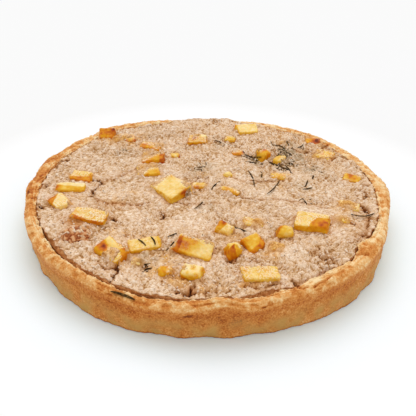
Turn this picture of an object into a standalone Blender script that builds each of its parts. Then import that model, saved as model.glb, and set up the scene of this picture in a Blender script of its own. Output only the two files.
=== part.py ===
"""A potato quiche, baked in a round tin, turned out whole and standing on its flat base.

A plain shortcrust shell holds a pale set filling, with browned potato dice sunk in it and
rosemary needles on top. Blender units are metres and +Z is up; the named sizes below are in
millimetres and become metres through MM. The origin is the middle of the flat base, and the
front of the quiche faces -Y.
"""

import math
import random

import bmesh
import bpy
from mathutils import Euler, Vector, noise
from mathutils.bvhtree import BVHTree
from mathutils.geometry import delaunay_2d_cdt

MM = 0.001
GAP = 0.3  # clear space that neighbouring pieces keep

# The crust: a shell turned in a 230 mm tin
LIP_RADIUS = 115.0  # widest line, where the rim rolls over the wall
LIP_HEIGHT = 20.3
BASE_RADIUS = 112.6
CREST_RADIUS = 112.0
CREST_HEIGHT = 23.2
INNER_RADIUS = 107.6  # inner edge of the rim
WALL_INNER_RADIUS = 106.0
WALL_BEND_HEIGHT = 14.0  # where the inner wall bends out to the rim's inner edge
FLOOR_RADIUS = 101.5
FLOOR_HEIGHT = 4.0
COLUMNS = 120  # steps round the crust
FOOT_BUMPS = 29  # small swellings round the foot of the wall
FOOT_BUMP_DEPTH = 0.7
RIM_RIPPLE_OUT = 0.35  # slow ripples that a hand-pressed rim keeps
RIM_RIPPLE_UP = 0.3

# Where the rim leaves its circle: angle and width in degrees, then mm outwards and upwards
RIM_WAVES = (
    (90, 30, 0.0, -3.3),  # the back sank, and the filling lies over it
    (117, 7, 0.8, 1.4),
    (131, 9, 2.4, 2.0),
    (150, 7, 1.8, 0.6),
    (164, 8, 2.4, 1.0),
    (-178, 5, 2.0, 0.6),
    (-17, 7, -1.0, 0.0),
    (4, 10, 2.6, 0.6),
    (25, 9, 2.4, 0.6),
    (42, 9, 0.7, 0.4),
    (60, 13, 0.8, 0.7),
    (-34, 7, 0.3, 1.4),
    (-78, 4, 0.4, -1.2),
    (-86, 4, -1.0, 1.3),
    (-106, 15, 0.6, -2.4),
    (-140, 12, 0.3, -0.8),
)
# Where the foot of the wall swells: angle and width in degrees, then mm outwards
FOOT_SWELLS = (
    (-116, 20, 2.5),
    (-46, 20, 2.5),
)
# Where the rim's inner edge moves: angle and width in degrees, then mm towards the middle
RIM_REACH = (
    (-36, 4, 3.6),  # a fold of dough lies inwards over the filling
    (-55, 7, 1.2),
    (-125, 26, -1.8),
    (160, 20, 0.6),
)
FOLD_CREASE = ((-41.5, 103.5, 2.0), (-40.5, 108.0, 2.0), (-39.0, 112.5, 1.2))

# The filling
FILL_HEIGHT = 21.9
FILL_DOME = 0.9  # rise from edge to middle
FILL_BED = FLOOR_HEIGHT + GAP
FILL_SPACING = 8.0  # between the points of the rough top
FILL_SHAKE = 0.15  # how far those points stray, as a share of the spacing
FILL_SWELLS = ((1.1, 26.0, 4.0), (0.7, 10.0, 9.0))  # height and length of swells, and their seed
EDGE_ROLL = 1.1  # fall of the top over its last few mm
EDGE_ROLL_START = 7.0  # distance from the rim where that fall begins
SEAT = GAP + 0.15  # between the filling's side and the crust's inner wall
# Where the filling shrank from the crust: angle and width in degrees, then mm
SHRINKAGE = (
    (-139, 11, 4.2),
    (-119, 8, 1.6),
    (-104, 7, 1.8),
    (-72, 8, 2.6),
    (-29, 7, 2.8),
    (6, 6, 1.4),
)

# Cracks and pits in the top: width and depth in mm, then the points along it
CRACKS = (
    (2.6, 3.5, ((-77, 4), (-70, -3), (-73, -10), (-71, -19))),
    (1.6, 2.0, ((-69, 1), (-60, 7), (-52, 13))),
    (1.6, 2.0, ((-70, -19), (-61, -22), (-52, -23))),
    (2.4, 3.0, ((-45, -83), (-46, -90), (-49, -96))),
    (1.8, 2.2, ((-57, -84), (-47, -86))),
    (3.4, 4.0, ((-15, -101), (-7, -103), (0, -104))),
    (2.0, 2.5, ((44, -92), (46, -99))),
    (4.0, 3.0, ((60, -71), (66, -76), (73, -78))),
    (4.2, 3.0, ((96, -21), (98, -12))),
    (1.4, 1.8, ((19, -12), (27, -15), (35, -15))),
)

CRACK_END = 0.3  # width of a crack's end, as a share of its middle
CRACK_HEADROOM = 2.0  # how far a crack's cutter stands above the surface

# Potato dice: place, height over the filling, width, depth and thickness in mm, then turn,
# lean (back edge up) and roll (left edge up) in degrees, and the taper towards the top
POTATOES = (
    (-77, 70, 4.2, 11, 10, 12, 0, 34, 0, 0.0),
    (-63, 67, 1.8, 15, 11, 10, 8, 6, 0, 0.0),
    (-42, 54, 1.8, 18, 9, 10, -20, 8, 0, 0.1),
    (-39, 35, 3.0, 17, 13, 12, -6, 14, -6, 0.2),
    (-24, 43, 1.8, 8, 7, 9, 10, 0, 0, 0.1),
    (-41, 18, 2.6, 16, 14, 12, 12, 6, 0, 0.1),
    (-8, 64, 3.6, 17, 11, 12, 0, 22, 0, 0.2),
    (16, 71, 1.8, 9, 7, 9, -15, 10, 0, 0.0),
    (29, 89, 3.0, 19, 13, 12, 16, 8, 4, 0.05),
    (21, 47, 1.8, 9, 6, 9, 12, 10, 0, 0.0),
    (39, 43, 5.0, 12, 12, 13, 45, 10, 10, 0.2),
    (49.5, 38, 2.6, 13, 6, 10, 62, 0, 8, 0.0),
    (77, 69, 2.4, 11, 8, 10, -20, 15, 0, 0.0),
    (83, 49, 1.8, 13, 12, 10, -30, 6, 0, 0.0),
    (13, 14, 2.2, 8, 7, 9, 30, 5, 0, 0.3),
    (-6, -1, 1.8, 9, 6, 9, 0, 10, 0, 0.0),
    (-24, -9, 4.6, 24, 17, 15, -52, 12, -5, 0.0),
    (14, -6, 1.6, 13, 5, 8, -28, 0, 0, 0.0),
    (48, 15, 1.4, 13, 8, 8, -5, 0, 0, 0.0),
    (96, 15, 2.0, 12, 8, 10, -27, 15, 0, 0.0),
    (88, -19, 1.6, 12, 10, 9, -15, 0, 0, 0.0),
    (-84, 8, 2.6, 17, 10, 10, -18, 10, 0, 0.1),
    (-87, -8, 2.8, 18, 8, 10, 0, 12, 0, 0.0),
    (-91, -24, 2.6, 16, 11, 10, -50, 8, 0, 0.1),
    (-69, -40, 3.0, 21, 11, 11, -14, 10, 0, 0.0),
    (-51, -75, 4.0, 18, 12, 13, -42, 10, 8, 0.1),
    (-33, -67, 2.6, 20, 10, 10, 14, 8, 0, 0.1),
    (-7, -72, 4.6, 22, 12, 14, -15, 28, 11, 0.1),
    (10, -52, 4.2, 13, 10, 12, -25, 20, 10, 0.3),
    (15, -74, 6.0, 12, 11, 14, 20, 18, 0, 0.4),
    (26, -64, 4.4, 12, 11, 13, -55, 8, 18, 0.05),
    (27, -43, 1.8, 13, 7, 9, -5, 5, 0, 0.0),
    (44, -55, 4.4, 12, 9, 12, 5, 28, 0, 0.3),
    (38, -65, 1.5, 9, 6, 8, -20, 10, 0, 0.0),
    (60, -43, 5.2, 22, 15, 15, -14, 10, -4, 0.1),
    (79, -36, 1.8, 10, 7, 9, -8, 5, 0, 0.0),
    (28, -91, 3.0, 20, 10, 12, 8, 12, 4, 0.0),
    (-7, -91, 4.2, 13, 11, 12, -15, 12, 0, 0.2),
    (-21, -89, 2.2, 8, 7, 9, 20, 10, 0, 0.1),
    (-36, -81, 1.8, 8, 7, 8, 0, 5, 0, 0.2),
)
RIM_PIECE_RADIUS = 100.0  # a piece beyond this leans on the rim, which is dented to fit
CORNER_WANDER = 0.07  # how far a knife cut strays, as a share of the piece's size
EDGE_ROUND = 1.1
SMALL_EDGE_ROUND = 0.16  # on a small piece, as a share of its narrower side
LARGE_PIECE = 15.0  # from this width on, an edge is rounded in two steps
FLAT_EDGE = 25.0  # degrees below which two triangles count as one cut face
POCKET_GAP = 1.2 * GAP  # grown corner by corner, which leaves at least GAP on each face

# A knobbly brown piece of mushroom, half sunk at the left front
MUSHROOM_PLACE = (-74, -57)
MUSHROOM_SIZE = (8.8, 8.8, 6.0)  # half width, half depth, half height
MUSHROOM_RISE = 4.0
MUSHROOM_KNOBS = 0.22  # as a share of its size
MUSHROOM_TURN = -20.0

# Rosemary needles: the node each lies on, its two ends and its sideways bow in mm
NEEDLE_RADIUS = 0.75
NEEDLE_STATIONS = 4
NEEDLE_SIDES = 4
ABOVE_ALL = 60.0  # height from which a needle is dropped on what carries it
NEEDLES = (
    ("crust", -47.0, -103.5, -34.5, -108.3, 0.6),
    ("filling", 86, -30, 101, -29, -3.0),
    ("potato_27", -31, -63, -28, -69, 0.6),
    ("filling", -22, -60, -17, -54, 0.0),
    ("filling", -33, -88, -28, -85, 1.0),
    ("filling", 18, -48, 23, -51, 0.0),
    ("filling", 8, 6, 2, -5, -0.8),
    ("filling", 27, 23, 30, 1, 1.0),
    ("filling", 47, 8, 37, -12, 0.8),
    ("filling", 53, 32, 56, 19, 0.6),
    ("filling", 26, 36, 33, 34, 0.4),
    ("filling", 46, 64, 55, 53, 3.5),
    ("filling", 58, 70, 59, 62, 0.0),
    ("filling", 65, 60, 70, 64, -1.0),
    ("filling", 71, 18, 69, 12, 0.0),
    ("filling", 66, 11, 63, 3, 0.3),
    ("filling", 68, 2, 61, 0, 0.3),
    ("filling", 59, -12, 61, -21, 0.4),
    ("filling", 36, 21, 35, 12, 0.3),
    ("filling", -9, 24, -2, 26, 0.3),
    ("filling", -8, -29, -3, -20, -0.5),
    ("filling", 4, 70, 9, 63, 0.3),
)


def bell(angle, centre, width):
    """1 at centre and fading out within a few widths of it, all in degrees round the rim."""
    away = (angle - centre + 180.0) % 360.0 - 180.0
    return math.exp(-((away / width) ** 2))


def summed(rows, angle, column):
    """One column of a table of features, each faded round its own angle."""
    return sum(row[column] * bell(angle, row[0], row[1]) for row in rows)


def smooth_step(low, high, value):
    share = min(max((value - low) / (high - low), 0.0), 1.0)
    return share * share * (3.0 - 2.0 * share)


def blend(a, b, share):
    return tuple(p + (q - p) * share for p, q in zip(a, b))


def rim_at(angle):
    """(mm outwards, mm upwards, inner radius, inner height) of the rim at this angle."""
    outwards = summed(RIM_WAVES, angle, 2) + RIM_RIPPLE_OUT * math.sin(math.radians(7 * angle + 40))
    upwards = summed(RIM_WAVES, angle, 3) + RIM_RIPPLE_UP * math.sin(math.radians(11 * angle))
    inner_radius = INNER_RADIUS - summed(RIM_REACH, angle, 2)
    inner_height = CREST_HEIGHT - 0.5 + upwards
    return outwards, upwards, inner_radius, inner_height


def crust_profile(angle):
    """The crust's cut face at one angle, as (radius, height): up the wall, over, and down inside."""
    outwards, upwards, inner_radius, inner_height = rim_at(angle)
    bumps = FOOT_BUMP_DEPTH * math.sin(math.radians(FOOT_BUMPS * angle)) * bell(angle % 60, 30, 22)
    swell = summed(FOOT_SWELLS, angle, 2)
    foot = BASE_RADIUS + bumps + swell
    lip = LIP_RADIUS + outwards
    lip_height = LIP_HEIGHT + upwards
    crest = CREST_RADIUS + 0.7 * outwards
    crest_height = CREST_HEIGHT + upwards
    return (
        (BASE_RADIUS - 4.0, 0.0),
        (foot - 0.5, 0.0),
        (foot, 1.4),
        (BASE_RADIUS + 0.4 + 0.2 * outwards + 0.9 * swell, 5.0),
        (BASE_RADIUS + 0.9 + 0.4 * outwards + 0.6 * swell, 10.5),
        (LIP_RADIUS - 1.2 + 0.7 * outwards, 0.75 * lip_height),
        (lip - 0.4, lip_height - 1.8),
        (lip, lip_height),
        (lip - 0.7, lip_height + 1.2),
        (crest + 1.0, crest_height - 0.5),
        (crest, crest_height),
        (0.5 * (crest + inner_radius), crest_height - 0.1),
        (inner_radius + 0.8, inner_height),
        (inner_radius, inner_height - 1.2),
        (WALL_INNER_RADIUS, WALL_BEND_HEIGHT),
        (WALL_INNER_RADIUS - 1.0, 7.5),
        (FLOOR_RADIUS, FLOOR_HEIGHT),
    )


def wall_inside(angle, height):
    """Radius of the crust's inner wall at a height between its bend and the rim's inner edge."""
    _, _, inner_radius, inner_height = rim_at(angle)
    share = (height - WALL_BEND_HEIGHT) / (inner_height - 1.2 - WALL_BEND_HEIGHT)
    return WALL_INNER_RADIUS + (inner_radius - WALL_INNER_RADIUS) * min(max(share, 0.0), 1.0)


def filling_profile(angle):
    """The filling's side at one angle, as (radius, height), from its bed up to the edge of its top."""
    _, _, inner_radius, inner_height = rim_at(angle)
    away = summed(SHRINKAGE, angle, 2)
    edge_height = FILL_HEIGHT - EDGE_ROLL
    spread = smooth_step(0.3, 1.6, edge_height - inner_height)
    low = min(inner_height - 1.4, edge_height - 2.4)
    high = edge_height - 0.9
    inside_low = wall_inside(angle, low) - SEAT
    inside_high = wall_inside(angle, high) - SEAT - 0.15
    inside_edge = inside_high - away
    top_radius = inside_edge - 0.4 + (inner_radius + 2.4 - inside_edge) * spread
    return (
        (FLOOR_RADIUS - 0.6, FILL_BED),
        (WALL_INNER_RADIUS - 1.4, 7.7),
        (WALL_INNER_RADIUS - SEAT, WALL_BEND_HEIGHT),
        (inside_low - 0.4 * away, low),
        blend((inside_high - 0.8 * away, high - 0.5), (inner_radius + 0.4, inner_height + 0.6), spread),
        blend((inside_edge, high), (inner_radius + 2.6, inner_height + 0.8), spread),
        (top_radius, filling_height(*around(top_radius, angle))),
    )


def around(radius, angle):
    turn = math.radians(angle)
    return radius * math.cos(turn), radius * math.sin(turn)


def filling_height(x, y):
    """Height of the filling's top in mm: a low dome with swells, rolling down at its edge."""
    radius = math.hypot(x, y)
    dome = FILL_DOME * (1.0 - (radius / INNER_RADIUS) ** 2)
    swells = sum(
        height * noise.noise(Vector((x / length, y / length, seed)))
        for height, length, seed in FILL_SWELLS
    )
    roll = EDGE_ROLL * smooth_step(INNER_RADIUS - EDGE_ROLL_START, INNER_RADIUS + 1.0, radius)
    return FILL_HEIGHT + dome + swells - roll


def material(name, color, roughness):
    """A matte food finish; color is linear red, green and blue."""
    made = bpy.data.materials.new(name)
    made.use_nodes = True
    shader = made.node_tree.nodes["Principled BSDF"]
    shader.inputs["Base Color"].default_value = (*color, 1.0)
    shader.inputs["Roughness"].default_value = roughness
    made.diffuse_color = (*color, 1.0)
    return made


def add_object(name, mesh, finish=None):
    made = bpy.data.objects.new(name, mesh)
    bpy.context.scene.collection.objects.link(made)
    if finish:
        mesh.materials.append(finish)
    return made


def mesh_from(name, points, faces):
    """A mesh in metres from points in mm, with its faces turned outwards."""
    mesh = bpy.data.meshes.new(name)
    mesh.from_pydata([Vector(point) * MM for point in points], [], faces)
    shell = bmesh.new()
    shell.from_mesh(mesh)
    bmesh.ops.recalc_face_normals(shell, faces=shell.faces)
    shell.to_mesh(mesh)
    shell.free()
    return mesh


def ring_faces(rings, columns):
    """Quads between rings of points, ring after ring, each holding the same number of columns."""
    faces = []
    for low in range(rings - 1):
        for step in range(columns):
            following = (step + 1) % columns
            a, b = low * columns, (low + 1) * columns
            faces.append((a + step, a + following, b + following, b + step))
    return faces


def turned(profile_at):
    """Rings of points in mm, one ring for each point of a profile that changes round the quiche."""
    angles = [360.0 * step / COLUMNS - 180.0 for step in range(COLUMNS)]
    profiles = [profile_at(angle) for angle in angles]
    return [
        (*around(profile[level][0], angle), profile[level][1])
        for level in range(len(profiles[0]))
        for angle, profile in zip(angles, profiles)
    ]


def make_crust(finish):
    """The shell: flat base, wall, rolled rim and floor, closed by one flat face below and one inside."""
    points = turned(crust_profile)
    rings = len(points) // COLUMNS
    faces = ring_faces(rings, COLUMNS)
    faces.append(tuple(range(COLUMNS)))
    faces.append(tuple(range((rings - 1) * COLUMNS, rings * COLUMNS)))
    return add_object("crust", mesh_from("crust", points, faces), finish)


def inside_points(outline, spacing, margin):
    """A staggered grid of (x, y) points that fills an outline of (x, y) points round the origin."""
    shake = random.Random(11)
    reach = max(math.hypot(*point) for point in outline)
    row_pitch = spacing * math.sqrt(0.75)
    rows = int(reach / row_pitch) + 1
    found = []
    for row in range(-rows, rows + 1):
        for column in range(-rows, rows + 1):
            x = (column + 0.5 * (row % 2) + shake.uniform(-FILL_SHAKE, FILL_SHAKE)) * spacing
            y = row * row_pitch + shake.uniform(-FILL_SHAKE, FILL_SHAKE) * spacing
            turn = math.degrees(math.atan2(y, x)) + 180.0
            nearest = outline[int(round(turn / 360.0 * len(outline))) % len(outline)]
            if math.hypot(x, y) < math.hypot(*nearest) - margin:
                found.append((x, y))
    return found


def make_filling(finish):
    """The set filling: its side follows the crust, and its top is a rough skin of even triangles."""
    points = turned(filling_profile)
    rings = len(points) // COLUMNS
    faces = ring_faces(rings, COLUMNS)
    faces.append(tuple(range(COLUMNS)))
    edge_start = (rings - 1) * COLUMNS
    edge = [point[:2] for point in points[edge_start:]]
    middle = inside_points(edge, FILL_SPACING, 0.6 * FILL_SPACING)
    edge_loop = [(step, (step + 1) % COLUMNS) for step in range(COLUMNS)]
    flat = [Vector(point) for point in edge + middle]
    found, _, triangles, *_ = delaunay_2d_cdt(flat, edge_loop, [], 1, 1e-6)
    points += [(x, y, filling_height(x, y)) for x, y in found[COLUMNS:]]
    faces += [tuple(edge_start + corner for corner in triangle) for triangle in triangles]
    return add_object("filling", mesh_from("filling", points, faces), finish)


def cut_block(width, depth, thickness, taper, seed, grow=0.0):
    """A knife-cut block with strayed corners, its top centre at the origin, grown all over by grow mm."""
    stray = random.Random(seed)
    block = bmesh.new()
    bmesh.ops.create_cube(block, size=2.0)
    for corner in block.verts:
        narrow = 1.0 - taper if corner.co.z > 0 else 1.0
        outwards = corner.co.copy()
        corner.co.x *= 0.5 * width * narrow
        corner.co.y *= 0.5 * depth * narrow
        corner.co.z = 0.5 * (corner.co.z - 1.0) * thickness
        for axis, size in enumerate((width, depth, 0.5 * thickness)):
            corner.co[axis] += stray.uniform(-1.0, 1.0) * CORNER_WANDER * size
        corner.co = (corner.co + outwards * grow) * MM
    bmesh.ops.triangulate(block, faces=block.faces[:])
    return block


def mesh_of(name, shape):
    mesh = bpy.data.meshes.new(name)
    shape.to_mesh(mesh)
    shape.free()
    return mesh


def potato_mesh(name, width, depth, thickness, taper, seed):
    """A cut block with softened edges: bevelled twice where the piece is large enough to show it."""
    block = cut_block(width, depth, thickness, taper, seed)
    flat_edges = [edge for edge in block.edges if edge.calc_face_angle() < math.radians(FLAT_EDGE)]
    bmesh.ops.dissolve_edges(block, edges=flat_edges, use_verts=False)
    bmesh.ops.bevel(
        block,
        geom=block.edges[:],
        offset=min(EDGE_ROUND, SMALL_EDGE_ROUND * min(width, depth)) * MM,
        segments=2 if width > LARGE_PIECE else 1,
        profile=0.6,
        affect="EDGES",
    )
    bmesh.ops.triangulate(block, faces=block.faces[:])
    return mesh_of(name, block)


def make_potato(number, row, finish):
    x, y, rise, width, depth, thickness, turn, lean, roll, taper = row
    name = f"potato_{number:02d}"
    mesh = potato_mesh(name, width, depth, thickness, taper, seed=number)
    piece = add_object(name, mesh, finish)
    piece.location = Vector((x, y, filling_height(x, y) + rise)) * MM
    piece.rotation_mode = "XYZ"
    tilt = Euler((math.radians(lean), math.radians(roll), 0.0)).to_matrix()
    facing = Euler((0.0, 0.0, math.radians(turn))).to_matrix()
    piece.rotation_euler = (facing @ tilt).to_euler()
    return piece


def make_mushroom(finish):
    """A squashed ball with shallow knobs, half sunk in the filling."""
    lump = bmesh.new()
    bmesh.ops.create_icosphere(lump, subdivisions=2, radius=1.0)
    for point in lump.verts:
        knob = 1.0 + MUSHROOM_KNOBS * noise.noise(point.co * 1.7 + Vector((3.0, 1.0, 2.0)))
        point.co = Vector([c * size * knob * MM for c, size in zip(point.co, MUSHROOM_SIZE)])
    piece = add_object("mushroom_piece", mesh_of("mushroom_piece", lump), finish)
    x, y = MUSHROOM_PLACE
    sunk = filling_height(x, y) + MUSHROOM_RISE - MUSHROOM_SIZE[2]
    piece.location = Vector((x, y, sunk)) * MM
    piece.rotation_euler = (0.0, 0.0, math.radians(MUSHROOM_TURN))
    return piece


def group(name):
    """A collection of helpers, which stay out of the finished quiche."""
    made = bpy.data.collections.new(name)
    bpy.context.scene.collection.children.link(made)
    return made


def put_in(collection, helper):
    for holder in helper.users_collection:
        holder.objects.unlink(helper)
    collection.objects.link(helper)
    helper.hide_render = True
    helper.display_type = "WIRE"
    return helper


def potato_room(number, row, piece):
    """The pocket a potato sits in: its block before the edges were softened, GAP wider all over."""
    width, depth, thickness, taper = row[3], row[4], row[5], row[9]
    block = cut_block(width, depth, thickness, taper, seed=number, grow=POCKET_GAP)
    room = add_object("room_" + piece.name, mesh_of("room_" + piece.name, block))
    room.matrix_world = piece.matrix_world.copy()
    return room


def mushroom_room(piece):
    mesh = piece.data.copy()
    for point in mesh.vertices:
        point.co += point.co.normalized() * POCKET_GAP * MM
    room = add_object("room_" + piece.name, mesh)
    room.matrix_world = piece.matrix_world.copy()
    return room


def wedge(name, sections, collection):
    """A cutter along a route of sections: each a middle, a half width across it, a top and a tip height."""
    points = []
    for middle, side, top, tip in sections:
        for share, height in ((-1.0, top), (1.0, top), (0.0, tip)):
            points.append((middle.x + share * side.x, middle.y + share * side.y, height))
    last = len(points) - 3
    faces = [(0, 1, 2), (last, last + 2, last + 1)]
    for a in range(0, last, 3):
        faces += [(a, a + 3, a + 4, a + 1), (a + 1, a + 4, a + 5, a + 2), (a + 2, a + 5, a + 3, a)]
    return put_in(collection, add_object(name, mesh_from(name, points, faces)))


def crack_cutter(number, width, depth, route, collection):
    """A wedge along a crack: its width holds at the filling's top, and both its ends are pinched."""
    last = len(route) - 1
    sections = []
    for step, place in enumerate(route):
        along = Vector(route[min(step + 1, last)]) - Vector(route[max(step - 1, 0)])
        across = Vector((-along.y, along.x)).normalized()
        half = 0.5 * width * (CRACK_END if step in (0, last) else 1.0)
        surface = filling_height(*place)
        flare = (depth + CRACK_HEADROOM) / depth
        sections.append((Vector(place), across * half * flare, surface + CRACK_HEADROOM, surface - depth))
    return wedge(f"crack_{number}", sections, collection)


def crease_cutter(collection):
    """The crack under the fold of dough at the right front: a narrow wedge across the rim."""
    sections = []
    for angle, radius, width in FOLD_CREASE:
        surface = CREST_HEIGHT + rim_at(angle)[1]
        sideways = Vector(around(width, angle + 90.0))
        middle = Vector(around(radius, angle))
        sections.append((middle, sideways, surface + CRACK_HEADROOM, surface - 1.3 * width))
    return wedge("crease", sections, collection)


def needle(number, carrier_name, start, end, bow, surface, collection):
    """A rosemary needle: a four-sided spindle that follows what it lies on, half sunk into it."""
    start, end = Vector(start), Vector(end)
    along = (end - start).normalized()
    across = Vector((-along.y, along.x))
    rings = []
    for step in range(NEEDLE_STATIONS + 1):
        share = step / NEEDLE_STATIONS
        bulge = math.sin(math.pi * share)
        place = start.lerp(end, share) + across * bow * bulge
        hit = surface.ray_cast(Vector((place.x, place.y, ABOVE_ALL)) * MM, Vector((0, 0, -1)))[0]
        centre = Vector((place.x, place.y, hit.z / MM + 0.35 * NEEDLE_RADIUS))
        rings.append((centre, NEEDLE_RADIUS * (0.25 + 0.75 * bulge ** 0.5)))
    points = []
    for centre, radius in rings:
        for side in range(NEEDLE_SIDES):
            turn = math.tau * side / NEEDLE_SIDES
            sideways = across * radius * math.cos(turn)
            points.append((centre.x + sideways.x, centre.y + sideways.y, centre.z + radius * math.sin(turn)))
    faces = ring_faces(NEEDLE_STATIONS + 1, NEEDLE_SIDES)
    faces.append(tuple(range(NEEDLE_SIDES)))
    faces.append(tuple(range(len(points) - NEEDLE_SIDES, len(points))))
    name = f"needle_{number}_{carrier_name}"
    return put_in(collection, add_object(name, mesh_from(name, points, faces)))


def apply_boolean(piece, operation, collection):
    """One Boolean of a piece with a whole collection, applied."""
    if not collection.objects:
        return
    step = piece.modifiers.new(operation.title(), "BOOLEAN")
    step.operation = operation
    step.operand_type = "COLLECTION"
    step.collection = collection
    step.solver = "EXACT"
    bpy.context.view_layer.update()
    graph = bpy.context.evaluated_depsgraph_get()
    result = bpy.data.meshes.new_from_object(piece.evaluated_get(graph))
    piece.modifiers.clear()
    old = piece.data
    result.name = old.name
    piece.data = result
    bpy.data.meshes.remove(old)


def surface_of(piece):
    bpy.context.view_layer.update()
    copy = bmesh.new()
    copy.from_mesh(piece.data)
    copy.transform(piece.matrix_world)
    tree = BVHTree.FromBMesh(copy)
    copy.free()
    return tree


def drop(collection):
    for helper in list(collection.objects):
        bpy.data.objects.remove(helper, do_unlink=True)
    bpy.data.collections.remove(collection)


def fuse_needles(pieces):
    """Joins every needle to the piece it lies on."""
    for name in sorted({row[0] for row in NEEDLES}):
        piece = pieces[name]
        surface = surface_of(piece)
        bundle = group("needles_on_" + name)
        for number, row in enumerate(NEEDLES):
            if row[0] == name:
                needle(number, name, row[1:3], row[3:5], row[5], surface, bundle)
        if name.startswith("potato"):
            for helper in bundle.objects:
                helper.data.transform(piece.matrix_world.inverted())
                helper.matrix_world = piece.matrix_world.copy()
        apply_boolean(piece, "UNION", bundle)
        drop(bundle)


def clear_scene():
    for left in list(bpy.data.objects):
        bpy.data.objects.remove(left, do_unlink=True)


def main():
    clear_scene()
    crust_finish = material("shortcrust", (0.62, 0.30, 0.11), 0.6)
    filling_finish = material("set filling", (0.62, 0.44, 0.29), 0.75)
    potato_finish = material("browned potato", (0.80, 0.50, 0.16), 0.5)
    mushroom_finish = material("mushroom", (0.28, 0.14, 0.08), 0.55)
    pieces = {"crust": make_crust(crust_finish), "filling": make_filling(filling_finish)}
    for number, row in enumerate(POTATOES, start=1):
        piece = make_potato(number, row, potato_finish)
        pieces[piece.name] = piece
    pieces["mushroom_piece"] = make_mushroom(mushroom_finish)
    bpy.context.view_layer.update()

    rooms, rim_cuts = group("rooms"), group("rim_cuts")
    for number, row in enumerate(POTATOES, start=1):
        room = put_in(rooms, potato_room(number, row, pieces[f"potato_{number:02d}"]))
        if math.hypot(*row[:2]) > RIM_PIECE_RADIUS:
            rim_cuts.objects.link(room)
    put_in(rooms, mushroom_room(pieces["mushroom_piece"]))
    for number, (width, depth, route) in enumerate(CRACKS):
        crack_cutter(number, width, depth, route, rooms)
    crease_cutter(rim_cuts)
    apply_boolean(pieces["filling"], "DIFFERENCE", rooms)
    apply_boolean(pieces["crust"], "DIFFERENCE", rim_cuts)
    drop(rooms)
    drop(rim_cuts)

    fuse_needles(pieces)


main()
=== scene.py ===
# %% [markdown]
# # A potato quiche, dressed for its portrait
#
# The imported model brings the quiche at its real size: a shortcrust shell, a set filling, forty
# potato dice, one piece of mushroom and the rosemary needles that are fused to what they lie on.
# Its solids are plain and faceted. Here each of them gets a fine surface and a finish: the crust
# its flaky rim, the filling its curds and cracks, the potatoes their roasted edges. Nothing is
# moved or resized. Every fine piece is made from the same named sizes as the solid it stands for,
# or straight from that solid's own mesh.

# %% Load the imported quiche
import math

import bmesh
import bpy
import numpy as np
from mathutils import Matrix, Vector, noise
from mathutils.bvhtree import BVHTree


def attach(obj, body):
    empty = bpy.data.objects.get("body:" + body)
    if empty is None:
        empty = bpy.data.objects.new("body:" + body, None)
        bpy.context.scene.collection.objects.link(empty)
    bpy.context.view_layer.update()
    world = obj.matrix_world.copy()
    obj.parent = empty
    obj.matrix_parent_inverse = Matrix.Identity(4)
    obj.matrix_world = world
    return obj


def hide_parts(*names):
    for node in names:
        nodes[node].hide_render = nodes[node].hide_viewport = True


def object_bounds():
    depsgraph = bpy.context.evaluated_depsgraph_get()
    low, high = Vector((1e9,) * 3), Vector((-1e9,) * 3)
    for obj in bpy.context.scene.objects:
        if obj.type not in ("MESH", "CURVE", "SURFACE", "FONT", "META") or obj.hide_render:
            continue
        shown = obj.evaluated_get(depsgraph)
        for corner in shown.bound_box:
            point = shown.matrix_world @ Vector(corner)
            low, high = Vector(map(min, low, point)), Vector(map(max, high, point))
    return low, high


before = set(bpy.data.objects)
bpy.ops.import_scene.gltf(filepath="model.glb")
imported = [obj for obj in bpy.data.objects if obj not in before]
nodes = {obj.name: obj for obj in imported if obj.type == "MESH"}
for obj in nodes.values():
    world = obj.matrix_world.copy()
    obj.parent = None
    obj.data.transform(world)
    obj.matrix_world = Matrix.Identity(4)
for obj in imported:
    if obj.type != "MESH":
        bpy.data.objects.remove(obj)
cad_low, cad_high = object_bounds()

MM = 0.001
print("nodes:", len(nodes), "box in mm:", [round(side / MM, 1) for side in cad_high - cad_low])

# %% [markdown]
# ## The stage, the light and the camera
#
# A baker's photo is taken on white, under one broad soft light from above, so that the crust
# keeps its colour and only a soft grey shadow gathers at its foot. The same light comes here from
# a pale sky and a sun that is as wide as a big softbox. The camera stands in front, looking
# down at about a third of a right angle, with a normal lens.

# %% Floor
FLOOR_SIZE = 6.0  # metres
# The crust throws a warm tint on the paper, which a product photo has cleaned away: near the
# quiche the paper is made cooler by as much, and this fades out between two distances in mm
BOUNCE_NEAR, BOUNCE_FAR = 112.0, 205.0
PAPER = ((0.0, "#EDFDFF"), (0.25, "#F6FCFF"), (0.6, "#FBFBFC"), (1.0, "#F2F2F2"))


def srgb(code):
    """A colour code as sRGB hex, turned into the linear values that Blender's shaders use."""
    shares = [int(code[start:start + 2], 16) / 255.0 for start in (1, 3, 5)]
    return tuple(s / 12.92 if s <= 0.04045 else ((s + 0.055) / 1.055) ** 2.4 for s in shares) + (1.0,)


def add_node(tree, kind, links=None, values=None, stops=None, **settings):
    """Adds a node with its settings, its sockets' values and links, and a ramp's (place, colour) stops."""
    made = tree.nodes.new(kind)
    for setting, value in settings.items():
        setattr(made, setting, value)
    for socket, value in (values or {}).items():
        made.inputs[socket].default_value = value
    for socket, source in (links or {}).items():
        tree.links.new(source, made.inputs[socket])
    if stops:
        points = made.color_ramp.elements
        while len(points) < len(stops):
            points.new(1.0)
        for point, (place, code) in zip(points, stops):
            point.position = place
            point.color = srgb(code)
    return made


def new_material(name, look):
    """A material, its tree, its shader with the sockets set to a look, and the place on the piece."""
    made = bpy.data.materials.new(name)
    made.use_nodes = True
    tree = made.node_tree
    shader = tree.nodes["Principled BSDF"]
    for socket, value in look.items():
        shader.inputs[socket].default_value = value
    return made, tree, shader, add_node(tree, "ShaderNodeTexCoord").outputs["Object"]


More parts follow.
